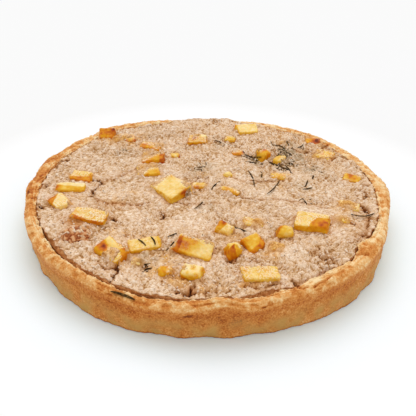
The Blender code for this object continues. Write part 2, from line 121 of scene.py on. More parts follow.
def add_piece(name, mesh, finish=None):
    made = bpy.data.objects.new(name, mesh)
    bpy.context.scene.collection.objects.link(made)
    if finish:
        mesh.materials.clear()
        mesh.materials.append(finish)
    return made


paper, tree, shader, where = new_material("matte white paper", {"Roughness": 0.9, "Specular IOR Level": 0.0})
outwards = add_node(tree, "ShaderNodeVectorMath", {0: where}, operation="LENGTH")
neutral = add_node(tree, "ShaderNodeMapRange", {0: outwards.outputs["Value"]},
                   {1: BOUNCE_NEAR * MM, 2: BOUNCE_FAR * MM, 3: 0.0, 4: 1.0})
white = add_node(tree, "ShaderNodeValToRGB", {"Fac": neutral.outputs[0]}, stops=PAPER)
tree.links.new(white.outputs["Color"], shader.inputs["Base Color"])

floor_mesh = bpy.data.meshes.new("floor")
half = FLOOR_SIZE / 2
corners = [(-half, -half, 0), (half, -half, 0), (half, half, 0), (-half, half, 0)]
floor_mesh.from_pydata(corners, [], [(0, 1, 2, 3)])
floor = add_piece("floor", floor_mesh, paper)
print("floor:", FLOOR_SIZE, "m square")

# %% Soft light
SKY_STRENGTH = 0.765
SUN_STRENGTH = 1.1
SUN_WIDTH = 55.0  # degrees, as a large softbox close by
SUN_HEIGHT = 64.0
SUN_FROM = 90.0  # degrees round from +X: straight behind the quiche

world = bpy.data.worlds.new("soft white room")
bpy.context.scene.world = world
world.use_nodes = True
world.node_tree.nodes["Background"].inputs["Color"].default_value = (1.0, 1.0, 1.0, 1.0)
world.node_tree.nodes["Background"].inputs["Strength"].default_value = SKY_STRENGTH

sun_light = bpy.data.lights.new("softbox", "SUN")
sun_light.energy = SUN_STRENGTH
sun_light.angle = math.radians(SUN_WIDTH)
sun = bpy.data.objects.new("softbox", sun_light)
bpy.context.scene.collection.objects.link(sun)
height, around_z = math.radians(SUN_HEIGHT), math.radians(SUN_FROM)
level = math.cos(height)
to_light = Vector((level * math.cos(around_z), level * math.sin(around_z), math.sin(height)))
sun.rotation_euler = to_light.to_track_quat("Z", "Y").to_euler()
bpy.context.scene.view_settings.view_transform = "Standard"
print("light comes from", [round(share, 2) for share in to_light])

# %% Camera
# Fitted to the quiche's outline, rim and foot in the photo
CAMERA_PLACE = Vector((0.18, -318.4, 206.5)) * MM
CAMERA_RIGHT = Vector((0.99973, 0.01232, 0.01955))
CAMERA_UP = Vector((-0.02311, 0.53282, 0.84591))
LENS = 49.08
SENSOR = 36.0

lens = bpy.data.cameras.new("camera")
lens.lens = LENS
lens.sensor_width = SENSOR
lens.clip_start = 0.01
camera = bpy.data.objects.new("camera", lens)
bpy.context.scene.collection.objects.link(camera)
camera_turn = Matrix((CAMERA_RIGHT, CAMERA_UP, CAMERA_RIGHT.cross(CAMERA_UP))).transposed()
camera.matrix_world = Matrix.Translation(CAMERA_PLACE) @ camera_turn.to_4x4()
bpy.context.scene.camera = camera
print("camera looks down", round(math.degrees(math.asin((camera_turn @ Vector((0, 0, 1))).z)), 1), "degrees")

# %% [markdown]
# ## Helpers that every piece uses
#
# A fine surface is a long array of points, so the sums are done with numpy on whole arrays.
# Relief comes from Blender's own gradient noise, read at each point at a named length: a swell
# of 26 mm is the oven's, a lump of 2 mm is a curd's. Its absolute value has sharp valleys and
# round tops, which is how curds, crumbs and crust bubbles press against each other.

# %% Noise, steps and mesh building
def noise_at(points, length, seed):
    """Gradient noise from about -0.7 to 0.7 at points in mm; length is the size of its swells in mm."""
    scaled = np.asarray(points) / length
    return np.array([noise.noise(Vector((x, y, z + seed))) for x, y, z in scaled.tolist()])


def flat_points(x, y):
    return np.stack([x, y, np.zeros_like(x)], axis=1)


def smooth_step(low, high, value):
    share = np.clip((value - low) / (high - low), 0.0, 1.0)
    return share * share * (3.0 - 2.0 * share)


def fading(away, width):
    """1 where away is 0, and fading out within a few widths of it."""
    return np.exp(-((away / width) ** 2))


def bell(angle, centre, width):
    """The same round the rim, all in degrees."""
    return fading((angle - centre + 180.0) % 360.0 - 180.0, width)


def round_spot(x, y, middle_x, middle_y, reach):
    """The same round a place in the plane."""
    return np.exp(-((x - middle_x) ** 2 + (y - middle_y) ** 2) / reach ** 2)


def summed(rows, angle, column):
    """One column of a table of features, each faded round its own angle."""
    return sum(row[column] * bell(angle, row[0], row[1]) for row in rows)


def in_box(points):
    """Points in metres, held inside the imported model's box."""
    return np.clip(points, np.array(cad_low), np.array(cad_high))


def store(mesh, values_by_title):
    """Numbers at a mesh's points, where its material or a node tree reads them."""
    for title, values in values_by_title.items():
        layer = mesh.attributes.new(title, "FLOAT", "POINT")
        layer.data.foreach_set("value", np.asarray(values, np.float32))


def mesh_of(name, points, faces, values_by_title):
    """A smooth mesh in metres from points in mm, with numbers stored on it."""
    mesh = bpy.data.meshes.new(name)
    mesh.from_pydata(in_box(np.asarray(points) * MM).tolist(), [], [list(face) for face in faces])
    mesh.shade_smooth()
    store(mesh, values_by_title)
    return mesh


def keep(piece, stands_for=()):
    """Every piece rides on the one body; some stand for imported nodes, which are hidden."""
    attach(piece, "root")
    if stands_for:
        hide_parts(*stands_for)
    return piece


def read_rows(items, title, width, kind=np.float32):
    values = np.empty(len(items) * width, kind)
    items.foreach_get(title, values)
    return values.reshape(-1, width)


def vertex_array(mesh):
    return read_rows(mesh.vertices, "co", 3).astype(float)


def applied(holder):
    """What an object's modifier makes of it, as a plain mesh; the object itself goes."""
    bpy.context.view_layer.update()
    made = bpy.data.meshes.new_from_object(holder.evaluated_get(bpy.context.evaluated_depsgraph_get()))
    bpy.data.objects.remove(holder)
    return made


def tree_of(meshes):
    """One search tree over several meshes, in metres."""
    joined = bmesh.new()
    for mesh in meshes:
        joined.from_mesh(mesh)
    found = BVHTree.FromBMesh(joined)
    joined.free()
    return found


print("helpers ready")

# %% [markdown]
# ## The crust
#
# Shortcrust is pressed into a round tin and baked blind, so it is a wall of one thickness with a
# soft rolled rim that slumps, swells and folds as it bakes. One profile, turned round the quiche,
# gives it: the rim's waves are sums of bells round named angles. The profile is the packed
# model's, read here at 1,200 columns instead of 120, with a smooth curve through its corners. Only
# the rim's inner edge strays from it, by a millimetre or so at the front, as the photo shows.

# %% The rim's waves and the profile
LIP_RADIUS, LIP_HEIGHT = 115.0, 20.3
BASE_RADIUS = 112.6
CREST_RADIUS, CREST_HEIGHT = 112.0, 23.2
INNER_RADIUS = 107.6
WALL_INNER_RADIUS, WALL_BEND_HEIGHT = 106.0, 14.0
FLOOR_RADIUS, FLOOR_HEIGHT = 101.5, 4.0
FOOT_BUMPS, FOOT_BUMP_DEPTH = 29, 0.7
RIM_RIPPLE_OUT, RIM_RIPPLE_UP = 0.35, 0.3
# Angle and width in degrees, then mm outwards and upwards
RIM_WAVES = (
    (90, 30, 0.0, -3.3), (117, 7, 0.8, 1.4), (131, 9, 2.4, 2.0), (150, 7, 1.8, 0.6),
    (164, 8, 2.4, 1.0), (-178, 5, 2.0, 0.6), (-17, 7, -1.0, 0.0), (4, 10, 2.6, 0.6),
    (25, 9, 2.4, 0.6), (42, 9, 0.7, 0.4), (60, 13, 0.8, 0.7), (-34, 7, 0.3, 1.4),
    (-78, 4, 0.4, -1.2), (-86, 4, -1.0, 1.3), (-106, 15, 0.6, -2.4), (-140, 12, 0.3, -0.8),
)
FOOT_SWELLS = ((-116, 20, 2.5), (-46, 20, 2.5))
# Angle and width in degrees, then mm towards the middle
RIM_REACH = ((-36, 4, 2.8), (-55, 7, 1.2), (-125, 26, -1.8), (160, 20, 0.6), (-88, 18, -1.4))


def rim_at(angle):
    """(mm outwards, mm upwards, inner radius, inner height) of the rim at these angles."""
    outwards = summed(RIM_WAVES, angle, 2) + RIM_RIPPLE_OUT * np.sin(np.radians(7 * angle + 40))
    upwards = summed(RIM_WAVES, angle, 3) + RIM_RIPPLE_UP * np.sin(np.radians(11 * angle))
    inner_radius = INNER_RADIUS - summed(RIM_REACH, angle, 2)
    return outwards, upwards, inner_radius, CREST_HEIGHT - 0.5 + upwards


def crust_profile(angle):
    """Corners of the crust's cut face, as (radius, height): up the wall, over, and down inside."""
    outwards, upwards, inner_radius, inner_height = rim_at(angle)
    bumps = FOOT_BUMP_DEPTH * np.sin(np.radians(FOOT_BUMPS * angle)) * bell(angle % 60, 30, 22)
    swell = summed(FOOT_SWELLS, angle, 2)
    foot = BASE_RADIUS + bumps + swell
    lip, lip_height = LIP_RADIUS + outwards, LIP_HEIGHT + upwards
    crest, crest_height = CREST_RADIUS + 0.7 * outwards, CREST_HEIGHT + upwards
    level = np.ones_like(angle)
    return np.array([  # corner 0 at the foot to 16 inside; places along the profile are counted in corners
        ((BASE_RADIUS - 4.0) * level, 0.0 * level),
        (foot - 0.5, 0.0 * level),
        (foot, 1.4 * level),
        (BASE_RADIUS + 0.4 + 0.2 * outwards + 0.9 * swell, 5.0 * level),
        (BASE_RADIUS + 0.9 + 0.4 * outwards + 0.6 * swell, 10.5 * level),
        (LIP_RADIUS - 1.2 + 0.7 * outwards, 0.75 * lip_height),
        (lip - 0.4, lip_height - 1.8),
        (lip, lip_height),
        (lip - 0.7, lip_height + 1.2),
        (crest + 1.0, crest_height - 0.5),
        (crest, crest_height),
        (0.5 * (crest + inner_radius), crest_height - 0.1),
        (inner_radius + 0.8, inner_height),
        (inner_radius, inner_height - 1.2),
        (WALL_INNER_RADIUS * level, WALL_BEND_HEIGHT * level),
        ((WALL_INNER_RADIUS - 1.0) * level, 7.5 * level),
        (FLOOR_RADIUS * level, FLOOR_HEIGHT * level),
    ])


COLUMNS = 1200
# How many fine steps each stretch of the profile is cut into
STEPS = (2, 3, 7, 10, 9, 6, 4, 3, 4, 3, 5, 4, 4, 5, 2, 2)
stretches = [start + np.arange(count) / count for start, count in enumerate(STEPS)]
stations = np.concatenate(stretches + [[len(STEPS)]])


def through_corners(corners, places):
    """A smooth curve through a row of corners, read at places counted in corners."""
    padded = np.concatenate([2 * corners[:1] - corners[1:2], corners, 2 * corners[-1:] - corners[-2:-1]])
    start = np.minimum(places.astype(int), len(corners) - 2)
    share = (places - start).reshape(-1, *[1] * (corners.ndim - 1))
    a, b, c, d = (padded[start + step] for step in range(4))
    slope_in, slope_out = 0.5 * (c - a), 0.5 * (d - b)
    square, cube = share ** 2, share ** 3
    return (
        b * (2 * cube - 3 * square + 1) + slope_in * (cube - 2 * square + share)
        + c * (3 * square - 2 * cube) + slope_out * (cube - square)
    )


column_angles = np.arange(COLUMNS) * 360.0 / COLUMNS - 180.0
profiles = through_corners(crust_profile(column_angles), stations)
profiles[:, 1] = np.maximum(profiles[:, 1], 0.0)
print("crust rings and columns:", profiles.shape[0], profiles.shape[2])

# %% [markdown]
# A profile alone would look cast in plastic. Real dough has slow dents from the fingers that
# pressed it, fibres and creases along the rim where it was folded over, small blisters, a ragged
# foot, and pores where fat melted out. Each is a layer of noise at its own length, moved along
# the surface's own normal, and each is kept to the stretch of the profile where it occurs.

# %% Relief of the dough
DENTS = (0.35, 14.0)  # depth and length in mm
BLISTERS = (0.5, 3.4)
GRAIN = (0.28, 1.3)
FIBRES = (1.1, 20.0, 1.5)  # depth, length along the rim and length across it, in mm
PORES = (0.45, 2.2)
FLAKES = (0.45, 5.0, 0.05)  # how high a flake's edge is, how long a flake is, and how soft its edge is
LAYERS = (1.0, 4.0)  # how far the flaky inner edge strays, and how long a flake is
CRUMBLE = (0.5, 3.6)  # the same for the foot
LIP_FILL = 0.7  # how far the dough below the lip stands out where no lip hangs over
LIP_SHADOW = 0.35  # how far it is drawn in where one does
LIP_ANGLE, LIP_WIDTH = -98.0, 30.0  # which is here
# Places along the profile: below the lip, under it, in the crease over it, and at the inner edge
BELOW_LIP, UNDER_LIP, OVER_LIP, INNER_ROUND, INNER_EDGE = 5.4, 6.3, 7.5, 11.9, 12.4
RIM_BEGINS = (8.0, 9.5)  # where creases may start
# Depth, half width, then a route of angles and radii: the fold's crease, and cracks in the pale ledge
CREASES = (
    (2.2, 0.9, ((-41.5, 103.5), (-40.5, 108.0), (-39.0, 112.5))),
    (1.3, 0.45, ((-61.2, 112.6), (-59.0, 111.6), (-57.4, 111.9), (-55.8, 111.1), (-53.8, 109.8))),
    (1.3, 0.45, ((-64.8, 107.4), (-65.2, 110.0), (-64.2, 111.4), (-62.8, 111.5))),
)


def around(radius, angle):
    return radius * np.cos(np.radians(angle)), radius * np.sin(np.radians(angle))


def distance_to_route(x, y, route):
    """(mm to a route of points, share of the way along it, mm to its left) for points of the plane."""
    best, along, left = np.full(x.shape, 1e9), np.zeros(x.shape), np.zeros(x.shape)
    for step in range(len(route) - 1):
        (ax, ay), (bx, by) = route[step], route[step + 1]
        dx, dy = bx - ax, by - ay
        share = np.clip(((x - ax) * dx + (y - ay) * dy) / (dx * dx + dy * dy), 0.0, 1.0)
        away = np.hypot(x - ax - share * dx, y - ay - share * dy)
        nearer = away < best
        best = np.where(nearer, away, best)
        along = np.where(nearer, (step + share) / (len(route) - 1), along)
        left = np.where(nearer, np.sign(dx * (y - ay) - dy * (x - ax)) * away, left)
    return best, along, left


def grid_normals(grid):
    """Outward unit normals of rings of points: grid is rings by columns by 3."""
    up = np.gradient(grid, axis=0)
    side = np.roll(grid, -1, axis=1) - np.roll(grid, 1, axis=1)
    cross = np.cross(side, up)
    return cross / np.maximum(np.linalg.norm(cross, axis=2, keepdims=True), 1e-9)


radius, height = profiles[:, 0], profiles[:, 1]
ring_x, ring_y = around(radius, column_angles[None, :])
crust_grid = np.stack([ring_x, ring_y, height], axis=2)
normals = grid_normals(crust_grid).reshape(-1, 3)
flat = crust_grid.reshape(-1, 3)
place = np.repeat(stations[:, None], COLUMNS, axis=1).ravel()
angles = np.repeat(column_angles[None, :], len(stations), axis=0).ravel()
steps_long = np.linalg.norm(np.diff(profiles.mean(axis=2), axis=0), axis=1)
arc = np.repeat(np.concatenate([[0.0], np.cumsum(steps_long)])[:, None], COLUMNS, axis=1).ravel()

on_rim = smooth_step(6.6, 8.0, place) * (1.0 - smooth_step(12.8, 13.6, place))
on_wall = smooth_step(1.0, 2.4, place) * (1.0 - smooth_step(6.0, 7.0, place))
shown = smooth_step(0.9, 1.8, place) * (1.0 - smooth_step(13.0, 14.0, place))
has_lip = bell(angles, LIP_ANGLE, LIP_WIDTH)
rim_x, rim_y = around(CREST_RADIUS, angles)

along_rim = np.stack([rim_x / FIBRES[1], rim_y / FIBRES[1], arc / FIBRES[2]], axis=1)
fibres = FIBRES[0] * (0.2 - np.abs(noise_at(along_rim, 1.0, 47.0)))
fibres *= np.maximum(smooth_step(9.4, 10.6, place), 0.15 + 0.85 * bell(angles, LIP_ANGLE + 8.0, LIP_WIDTH))
dents = DENTS[0] * noise_at(flat, DENTS[1], 5.0)
blisters = BLISTERS[0] * (np.abs(noise_at(flat, BLISTERS[1], 21.0)) - 0.22)
grain = GRAIN[0] * noise_at(flat, GRAIN[1], 33.0)
large_flakes, small_flakes = noise_at(flat, FLAKES[1], 44.0), noise_at(flat, 0.6 * FLAKES[1], 49.0) - 0.12
flakes = FLAKES[0] * (smooth_step(-FLAKES[2], FLAKES[2], large_flakes) - 0.5)
flakes += 0.6 * FLAKES[0] * (smooth_step(-FLAKES[2], FLAKES[2], small_flakes) - 0.5)
pores = -PORES[0] * smooth_step(0.42, 0.6, noise_at(flat, PORES[1], 61.0))
filled = LIP_FILL * (1.0 - 0.8 * has_lip) * fading(place - BELOW_LIP, 0.7)
under_lip = -LIP_SHADOW * has_lip * fading(place - UNDER_LIP, 0.25)
relief = shown * (dents + grain + filled + under_lip + on_rim * (blisters + fibres + flakes)
                  + on_wall * (0.4 * blisters + pores + 0.35 * flakes))

x, y = flat[:, 0], flat[:, 1]
crease_cut, crease_shade = np.zeros(len(x)), np.zeros(len(x))
for depth, half, route in CREASES:
    away, _, _ = distance_to_route(x, y, [tuple(float(value) for value in around(r, a)) for a, r in route])
    crease_cut = np.maximum(crease_cut, depth * fading(away, half) * smooth_step(*RIM_BEGINS, place))
    crease_shade = np.maximum(crease_shade, fading(away, half + 0.2) * min(1.0, 0.55 / half))
rim_line = flat_points(rim_x, rim_y)
ragged = LAYERS[0] * noise_at(rim_line, LAYERS[1], 91.0) * fading(place - INNER_EDGE, 0.8)
crumbled = CRUMBLE[0] * noise_at(rim_line, CRUMBLE[1], 95.0) * (1.0 - smooth_step(1.8, 3.2, place))
crust_points = flat + normals * relief[:, None]
outward = flat_points(*around(1.0, angles))
crust_points += outward * (crumbled * smooth_step(0.0, 1.0, place) - ragged)[:, None]
crust_points[:, 2] = np.maximum(crust_points[:, 2] - crease_cut, 0.0)
crust_points[place < 1.05, 2] = 0.0
print("deepest dent in mm:", round(float(-relief.min()), 2))

# %% [markdown]
# The oven browns what stands proud and thin, and the fat fries the upper wall where the dough
# slid down the tin: orange brown there, pale gold on the crest, tan at the foot. The same map also
# carries painted light: a dark strip along the very foot as a painted contact shadow, painted shade
# in the creases, and painted highlights on the rim's fibres, flakes and lip line and on its inner
# edge, whose paleness is partly pale crumbs. That map is worked out here, place by place along the
# profile, and stored on the mesh, where the material reads it and breaks it up with its own small
# noise.

# %% How brown each part of the crust is
# Place along the profile, then browning from 0, raw, to 1, burnt: at the front, left and right.
# The rows at 0.0 and 1.4 are a painted contact shadow along the foot, and the low values at 11.7
# and 12.3 paint a highlight on the inner edge, which is also paler crumbs
BROWNING = (
    (0.0, 0.95, 0.95, 0.95), (1.4, 0.85, 0.85, 0.80), (2.0, 0.48, 0.48, 0.42), (3.0, 0.60, 0.50, 0.46),
    (4.0, 0.66, 0.52, 0.48), (5.0, 0.68, 0.52, 0.50), (5.8, 0.66, 0.52, 0.52), (6.3, 0.58, 0.52, 0.48),
    (6.9, 0.50, 0.48, 0.44), (7.4, 0.46, 0.44, 0.31), (8.2, 0.44, 0.40, 0.25), (9.2, 0.48, 0.43, 0.24),
    (10.0, 0.48, 0.42, 0.22), (11.0, 0.42, 0.40, 0.20), (11.7, 0.24, 0.30, 0.20), (12.3, 0.04, 0.12, 0.08),
    (13.0, 0.34, 0.36, 0.34), (16.0, 0.40, 0.40, 0.40),
)
CRISP = (1.4, 1.0)  # how strongly the flakes are speckled, on the wall and on the rim
FRONT_ANGLE, FRONT_WIDTH = -92.0, 52.0
LEFT_ANGLE, LEFT_WIDTH = 178.0, 36.0
# Spots that caught more heat: angle, place along the profile, degrees, width along it, strength
SCORCHES = (
    (-174.0, 8.6, 1.2, 0.7, 0.6), (-4.0, 11.0, 1.5, 0.8, 0.25), (158.0, 9.6, 3.0, 1.4, 0.2),
    (-39.5, 11.5, 1.6, 1.4, 0.08), (-31.0, 11.8, 3.0, 1.0, 0.05), (36.0, 11.5, 1.6, 1.0, 0.35),
    (-168.0, 11.0, 5.0, 1.0, 0.15), (-66.0, 7.6, 6.0, 0.8, 0.15), (-118.0, 7.6, 9.0, 0.8, 0.1),
    (20.0, 9.0, 1.2, 0.6, 0.2), (53.0, 10.5, 1.4, 0.8, 0.2), (-150.0, 10.4, 7.0, 0.8, -0.12),
    (-60.5, 11.3, 3.5, 1.0, -0.25), (-55.0, 11.5, 3.0, 1.0, -0.22),
    (-94.5, 5.4, 0.8, 0.2, 1.2), (-93.5, 5.6, 0.6, 0.18, 1.2), (-75.6, 7.5, 0.6, 0.3, 1.0),
)
TAN = (0.95, 5.2)  # strength of the tan at the foot, and the place along the profile where it ends
DRIFT, BREAK_UP = (0.12, 9.0), (0.1, 2.2)  # how far the browning strays, and within how many mm
# Painted shade in the creases, then painted highlights on the fibres' ridges, the raised flakes and the lip
# line
SHADE_IN_CREASES, FIBRE_HIGHLIGHT, FLAKE_HIGHLIGHT, LIP_HIGHLIGHT = 0.42, 0.5, 0.2, 0.22  # browner, and three that are paler

rows = np.array(BROWNING)
front = bell(angles, FRONT_ANGLE, FRONT_WIDTH)
left = bell(angles, LEFT_ANGLE, LEFT_WIDTH) * (1.0 - front)
by_side = [np.interp(place, rows[:, 0], rows[:, column]) for column in (1, 2, 3)]
browning_and_shading = front * by_side[0] + left * by_side[1] + (1.0 - front - left) * by_side[2]
for angle, spot_place, spread, width, strength in SCORCHES:
    browning_and_shading += strength * bell(angles, angle, spread) * fading(place - spot_place, width)
browning_and_shading += DRIFT[0] * noise_at(flat, DRIFT[1], 71.0)
browning_and_shading += (BREAK_UP[0] + 0.03 * on_rim) * noise_at(flat, BREAK_UP[1], 83.0)
browning_and_shading += SHADE_IN_CREASES * crease_shade * smooth_step(*RIM_BEGINS, place)
browning_and_shading -= (FIBRE_HIGHLIGHT + 0.4 * (front + left)) * on_rim * np.maximum(fibres / FIBRES[0] - 0.02, -0.2)
browning_and_shading -= FLAKE_HIGHLIGHT * on_rim * flakes / FLAKES[0]
# A painted highlight along the lip line at the front
lip_highlight = fading(place - OVER_LIP, 0.35) * front * np.clip(0.5 + 1.5 * noise_at(flat, 12.0, 79.0), 0.0, 1.0)
browning_and_shading -= LIP_HIGHLIGHT * lip_highlight
tan = TAN[0] * (1.0 - smooth_step(TAN[1] - 2.4, TAN[1], place)) * (0.6 + 1.3 * noise_at(flat, 7.0, 87.0))
tan *= smooth_step(1.2, 2.2, place)


def ring_faces(rings, columns):
    """Quads between rings of points, facing outwards where the rings run up an outer wall."""
    steps = np.arange(columns)
    following = (steps + 1) % columns
    faces = []
    for low in range(rings - 1):
        a, b = low * columns, (low + 1) * columns
        faces.append(np.stack([a + steps, a + following, b + following, b + steps], axis=1))
    return np.concatenate(faces).tolist()


def fan(loop, centre):
    """Triangles from a loop of points to one point in its middle."""
    return [(loop[step], loop[(step + 1) % len(loop)], centre) for step in range(len(loop))]


rings = len(stations)
middle_below, middle_inside = len(crust_points), len(crust_points) + 1
all_points = np.concatenate([crust_points, [(0.0, 0.0, 0.0), (0.0, 0.0, FLOOR_HEIGHT)]])
crust_faces = ring_faces(rings, COLUMNS)
crust_faces += fan(list(range(COLUMNS))[::-1], middle_below)
crust_faces += fan(list(range((rings - 1) * COLUMNS, rings * COLUMNS)), middle_inside)
pad = np.zeros(2)
inner_edge = fading(place - INNER_ROUND, 0.8)
crust_mesh = mesh_of("crust_shell", all_points, crust_faces, {
    "browning_and_shading": np.concatenate([np.clip(browning_and_shading, 0.0, 1.0), pad]),
    "tan": np.concatenate([np.clip(tan, 0.0, 1.0), pad]),
    "crisp": np.concatenate([CRISP[0] + (CRISP[1] - CRISP[0]) * on_rim, pad]),
    "flaky": np.concatenate([np.clip(inner_edge + 0.06 * on_rim, 0.0, 1.0) * shown, pad]),
})
print("crust triangles:", 2 * len(crust_faces) - 2 * COLUMNS)

# %% [markdown]
# Baked shortcrust is flour, fat and a little sugar: dry and matte, with a faint buttery sheen,
# and speckled, because each flake browns by itself. The colour ramp runs from raw butter yellow
# to burnt brown, and the foot, which the tin kept cooler, is greyer and yellower than the ramp.

# %% Material: baked shortcrust
SPECKLE = 0.9  # mm, about one flake
MOTTLE = 5.0  # mm from one warm patch to the next
CRUMB = 0.7  # mm of one grain of the dough
SPOT = 2.6  # mm from one browned spot to the next

crust_finish, tree, shader, where = new_material("baked shortcrust", {
    "Roughness": 0.6, "Specular IOR Level": 0.12})
baked = add_node(tree, "ShaderNodeAttribute", attribute_name="browning_and_shading")
tanned = add_node(tree, "ShaderNodeAttribute", attribute_name="tan")
crisp = add_node(tree, "ShaderNodeAttribute", attribute_name="crisp")
mottle = add_node(tree, "ShaderNodeTexNoise", {"Vector": where},
                  {"Scale": 1 / (MOTTLE * MM), "Detail": 4.0, "Roughness": 0.7})
speckle = add_node(tree, "ShaderNodeTexNoise", {"Vector": where},
                   {"Scale": 1 / (SPECKLE * MM), "Detail": 3.0, "Roughness": 0.65})
spot = add_node(tree, "ShaderNodeTexNoise", {"Vector": where},
                {"Scale": 1 / (SPOT * MM), "Detail": 1.0})
spotted = add_node(tree, "ShaderNodeMapRange", {0: spot.outputs["Fac"]}, {1: 0.62, 2: 0.74, 3: 0.0, 4: 0.1})
mottled = add_node(tree, "ShaderNodeMath", {0: mottle.outputs["Fac"], 2: spotted.outputs[0]}, {1: 0.36},
                   operation="MULTIPLY_ADD")
speckled = add_node(tree, "ShaderNodeMath", {0: speckle.outputs["Fac"]}, {1: 0.9, 2: -0.46},
                    operation="MULTIPLY_ADD")
crisper = add_node(tree, "ShaderNodeMath", {
    0: speckled.outputs[0], 1: crisp.outputs["Fac"], 2: mottled.outputs[0]}, operation="MULTIPLY_ADD")
uneven = add_node(tree, "ShaderNodeMath", {0: crisper.outputs[0]}, {1: -0.2}, operation="ADD")
total = add_node(tree, "ShaderNodeMath", {0: baked.outputs["Fac"], 1: uneven.outputs[0]}, operation="ADD")
tint = add_node(tree, "ShaderNodeValToRGB", {"Fac": total.outputs[0]}, stops=(
    (0.0, "#FADBA8"), (0.2, "#F1C080"), (0.4, "#E19C53"), (0.58, "#CE8037"),
    (0.78, "#B45E20"), (1.0, "#6E3410")))
toned = add_node(tree, "ShaderNodeMix", {0: tanned.outputs["Fac"], 6: tint.outputs["Color"]},
                 {7: srgb("#CA9852")}, data_type="RGBA")
crumb = add_node(tree, "ShaderNodeTexNoise", {"Vector": where},
                 {"Scale": 1 / (CRUMB * MM), "Detail": 4.0, "Roughness": 0.7})
crumbly = add_node(tree, "ShaderNodeBump", {"Height": crumb.outputs["Fac"]},
                   {"Strength": 0.9, "Distance": 0.35 * MM})
tree.links.new(toned.outputs[2], shader.inputs["Base Color"])
tree.links.new(crumbly.outputs["Normal"], shader.inputs["Normal"])

crust = keep(add_piece("baked_crust", crust_mesh, crust_finish), ["crust"])
print("crust dressed:", crust.name)

# %% [markdown]
# ## The potatoes
#
# Dice of potato are cut with a knife and roasted, so they keep flat faces and clear edges, and
# the edges and corners brown first. Each one starts as a merged copy of its own solid, which is
# remeshed into small even cells, roughened a little, and given a map of how roasted it is: by
# the way each face looks, which also holds painted shade and painted highlight, by how near it is
# to an edge, and by the spots where it touched the pan.

# %% How each potato is roasted
PHOTO_SIDE = 416.0  # pixels of the photo, which is square
PHOTO_FOCAL = LENS / SENSOR * PHOTO_SIDE
# For each potato by its number: roast from 0, raw, to 1, burnt, of its top, front, left and right
# faces, how much more of it on the edges, and how milky its top is. The faces' values carry the
# painted shade of each face as well as its roast. In the three tables after this one, places and
# reaches are in pixels of the photo
ROASTS = {
    1: (0.56, 0.64, 0.60, 0.54, 0.10, 0.00), 2: (0.45, 0.55, 0.50, 0.50, 0.30, 0.35),
    3: (0.55, 0.52, 0.50, 0.60, 0.10, 0.00), 4: (0.50, 0.52, 0.46, 0.72, 0.10, 0.00),
    5: (0.25, 0.40, 0.40, 0.60, 0.25, 0.10), 6: (0.42, 0.44, 0.40, 0.50, 0.10, 0.00),
    7: (0.46, 0.50, 0.50, 0.50, 0.10, 0.60), 8: (0.36, 0.40, 0.40, 0.40, 0.10, 0.00),
    9: (0.12, 0.38, 0.42, 0.25, 0.10, 0.10), 10: (0.52, 0.54, 0.50, 0.66, 0.10, 0.00),
    11: (0.47, 0.47, 0.48, 0.50, 0.05, 0.00), 12: (0.36, 0.42, 0.40, 0.40, 0.10, 0.10),
    13: (0.50, 0.52, 0.50, 0.80, 0.20, 0.00), 14: (0.34, 0.40, 0.30, 0.30, 0.10, 0.60),
    15: (0.12, 0.40, 0.30, 0.30, 0.10, 0.30), 16: (0.30, 0.45, 0.40, 0.50, 0.20, 0.40),
    17: (0.18, 0.36, 0.26, 0.36, 0.10, 0.25), 18: (0.44, 0.44, 0.40, 0.40, 0.10, 0.10),
    19: (0.48, 0.46, 0.40, 0.40, 0.10, 0.35), 20: (0.44, 0.45, 0.60, 0.40, 0.10, 0.00),
    21: (0.24, 0.28, 0.20, 0.20, 0.10, 0.80), 22: (0.34, 0.58, 0.44, 0.60, 0.10, 0.80),
    23: (0.05, 0.40, 0.50, 0.35, 0.05, 0.10), 24: (0.22, 0.15, 0.60, 0.15, 0.10, 0.80),
    25: (0.36, 0.62, 0.50, 0.45, 0.10, 0.85), 26: (0.30, 0.42, 0.45, 0.60, 0.10, 0.80),
    27: (0.26, 0.38, 0.27, 0.40, 0.05, 0.45), 28: (0.16, 0.28, 0.36, 0.16, 0.12, 0.10),
    29: (0.22, 0.20, 0.50, 0.20, 0.10, 0.40), 30: (0.22, 0.52, 0.55, 0.40, 0.10, 0.00),
    31: (0.38, 0.50, 0.55, 0.64, 0.15, 0.00), 32: (0.32, 0.30, 0.45, 0.25, 0.10, 0.80),
    33: (0.36, 0.32, 0.58, 0.30, 0.10, 0.00), 34: (0.44, 0.46, 0.40, 0.40, 0.05, 0.15),
    35: (0.28, 0.50, 0.40, 0.55, 0.10, 0.85), 36: (0.34, 0.36, 0.30, 0.34, 0.10, 0.50),
    37: (0.34, 0.32, 0.45, 0.30, 0.10, 0.70), 38: (0.06, 0.42, 0.50, 0.25, 0.05, 0.25),
    39: (0.48, 0.48, 0.48, 0.40, 0.10, 0.00), 40: (0.14, 0.20, 0.20, 0.20, 0.10, 0.60),
}
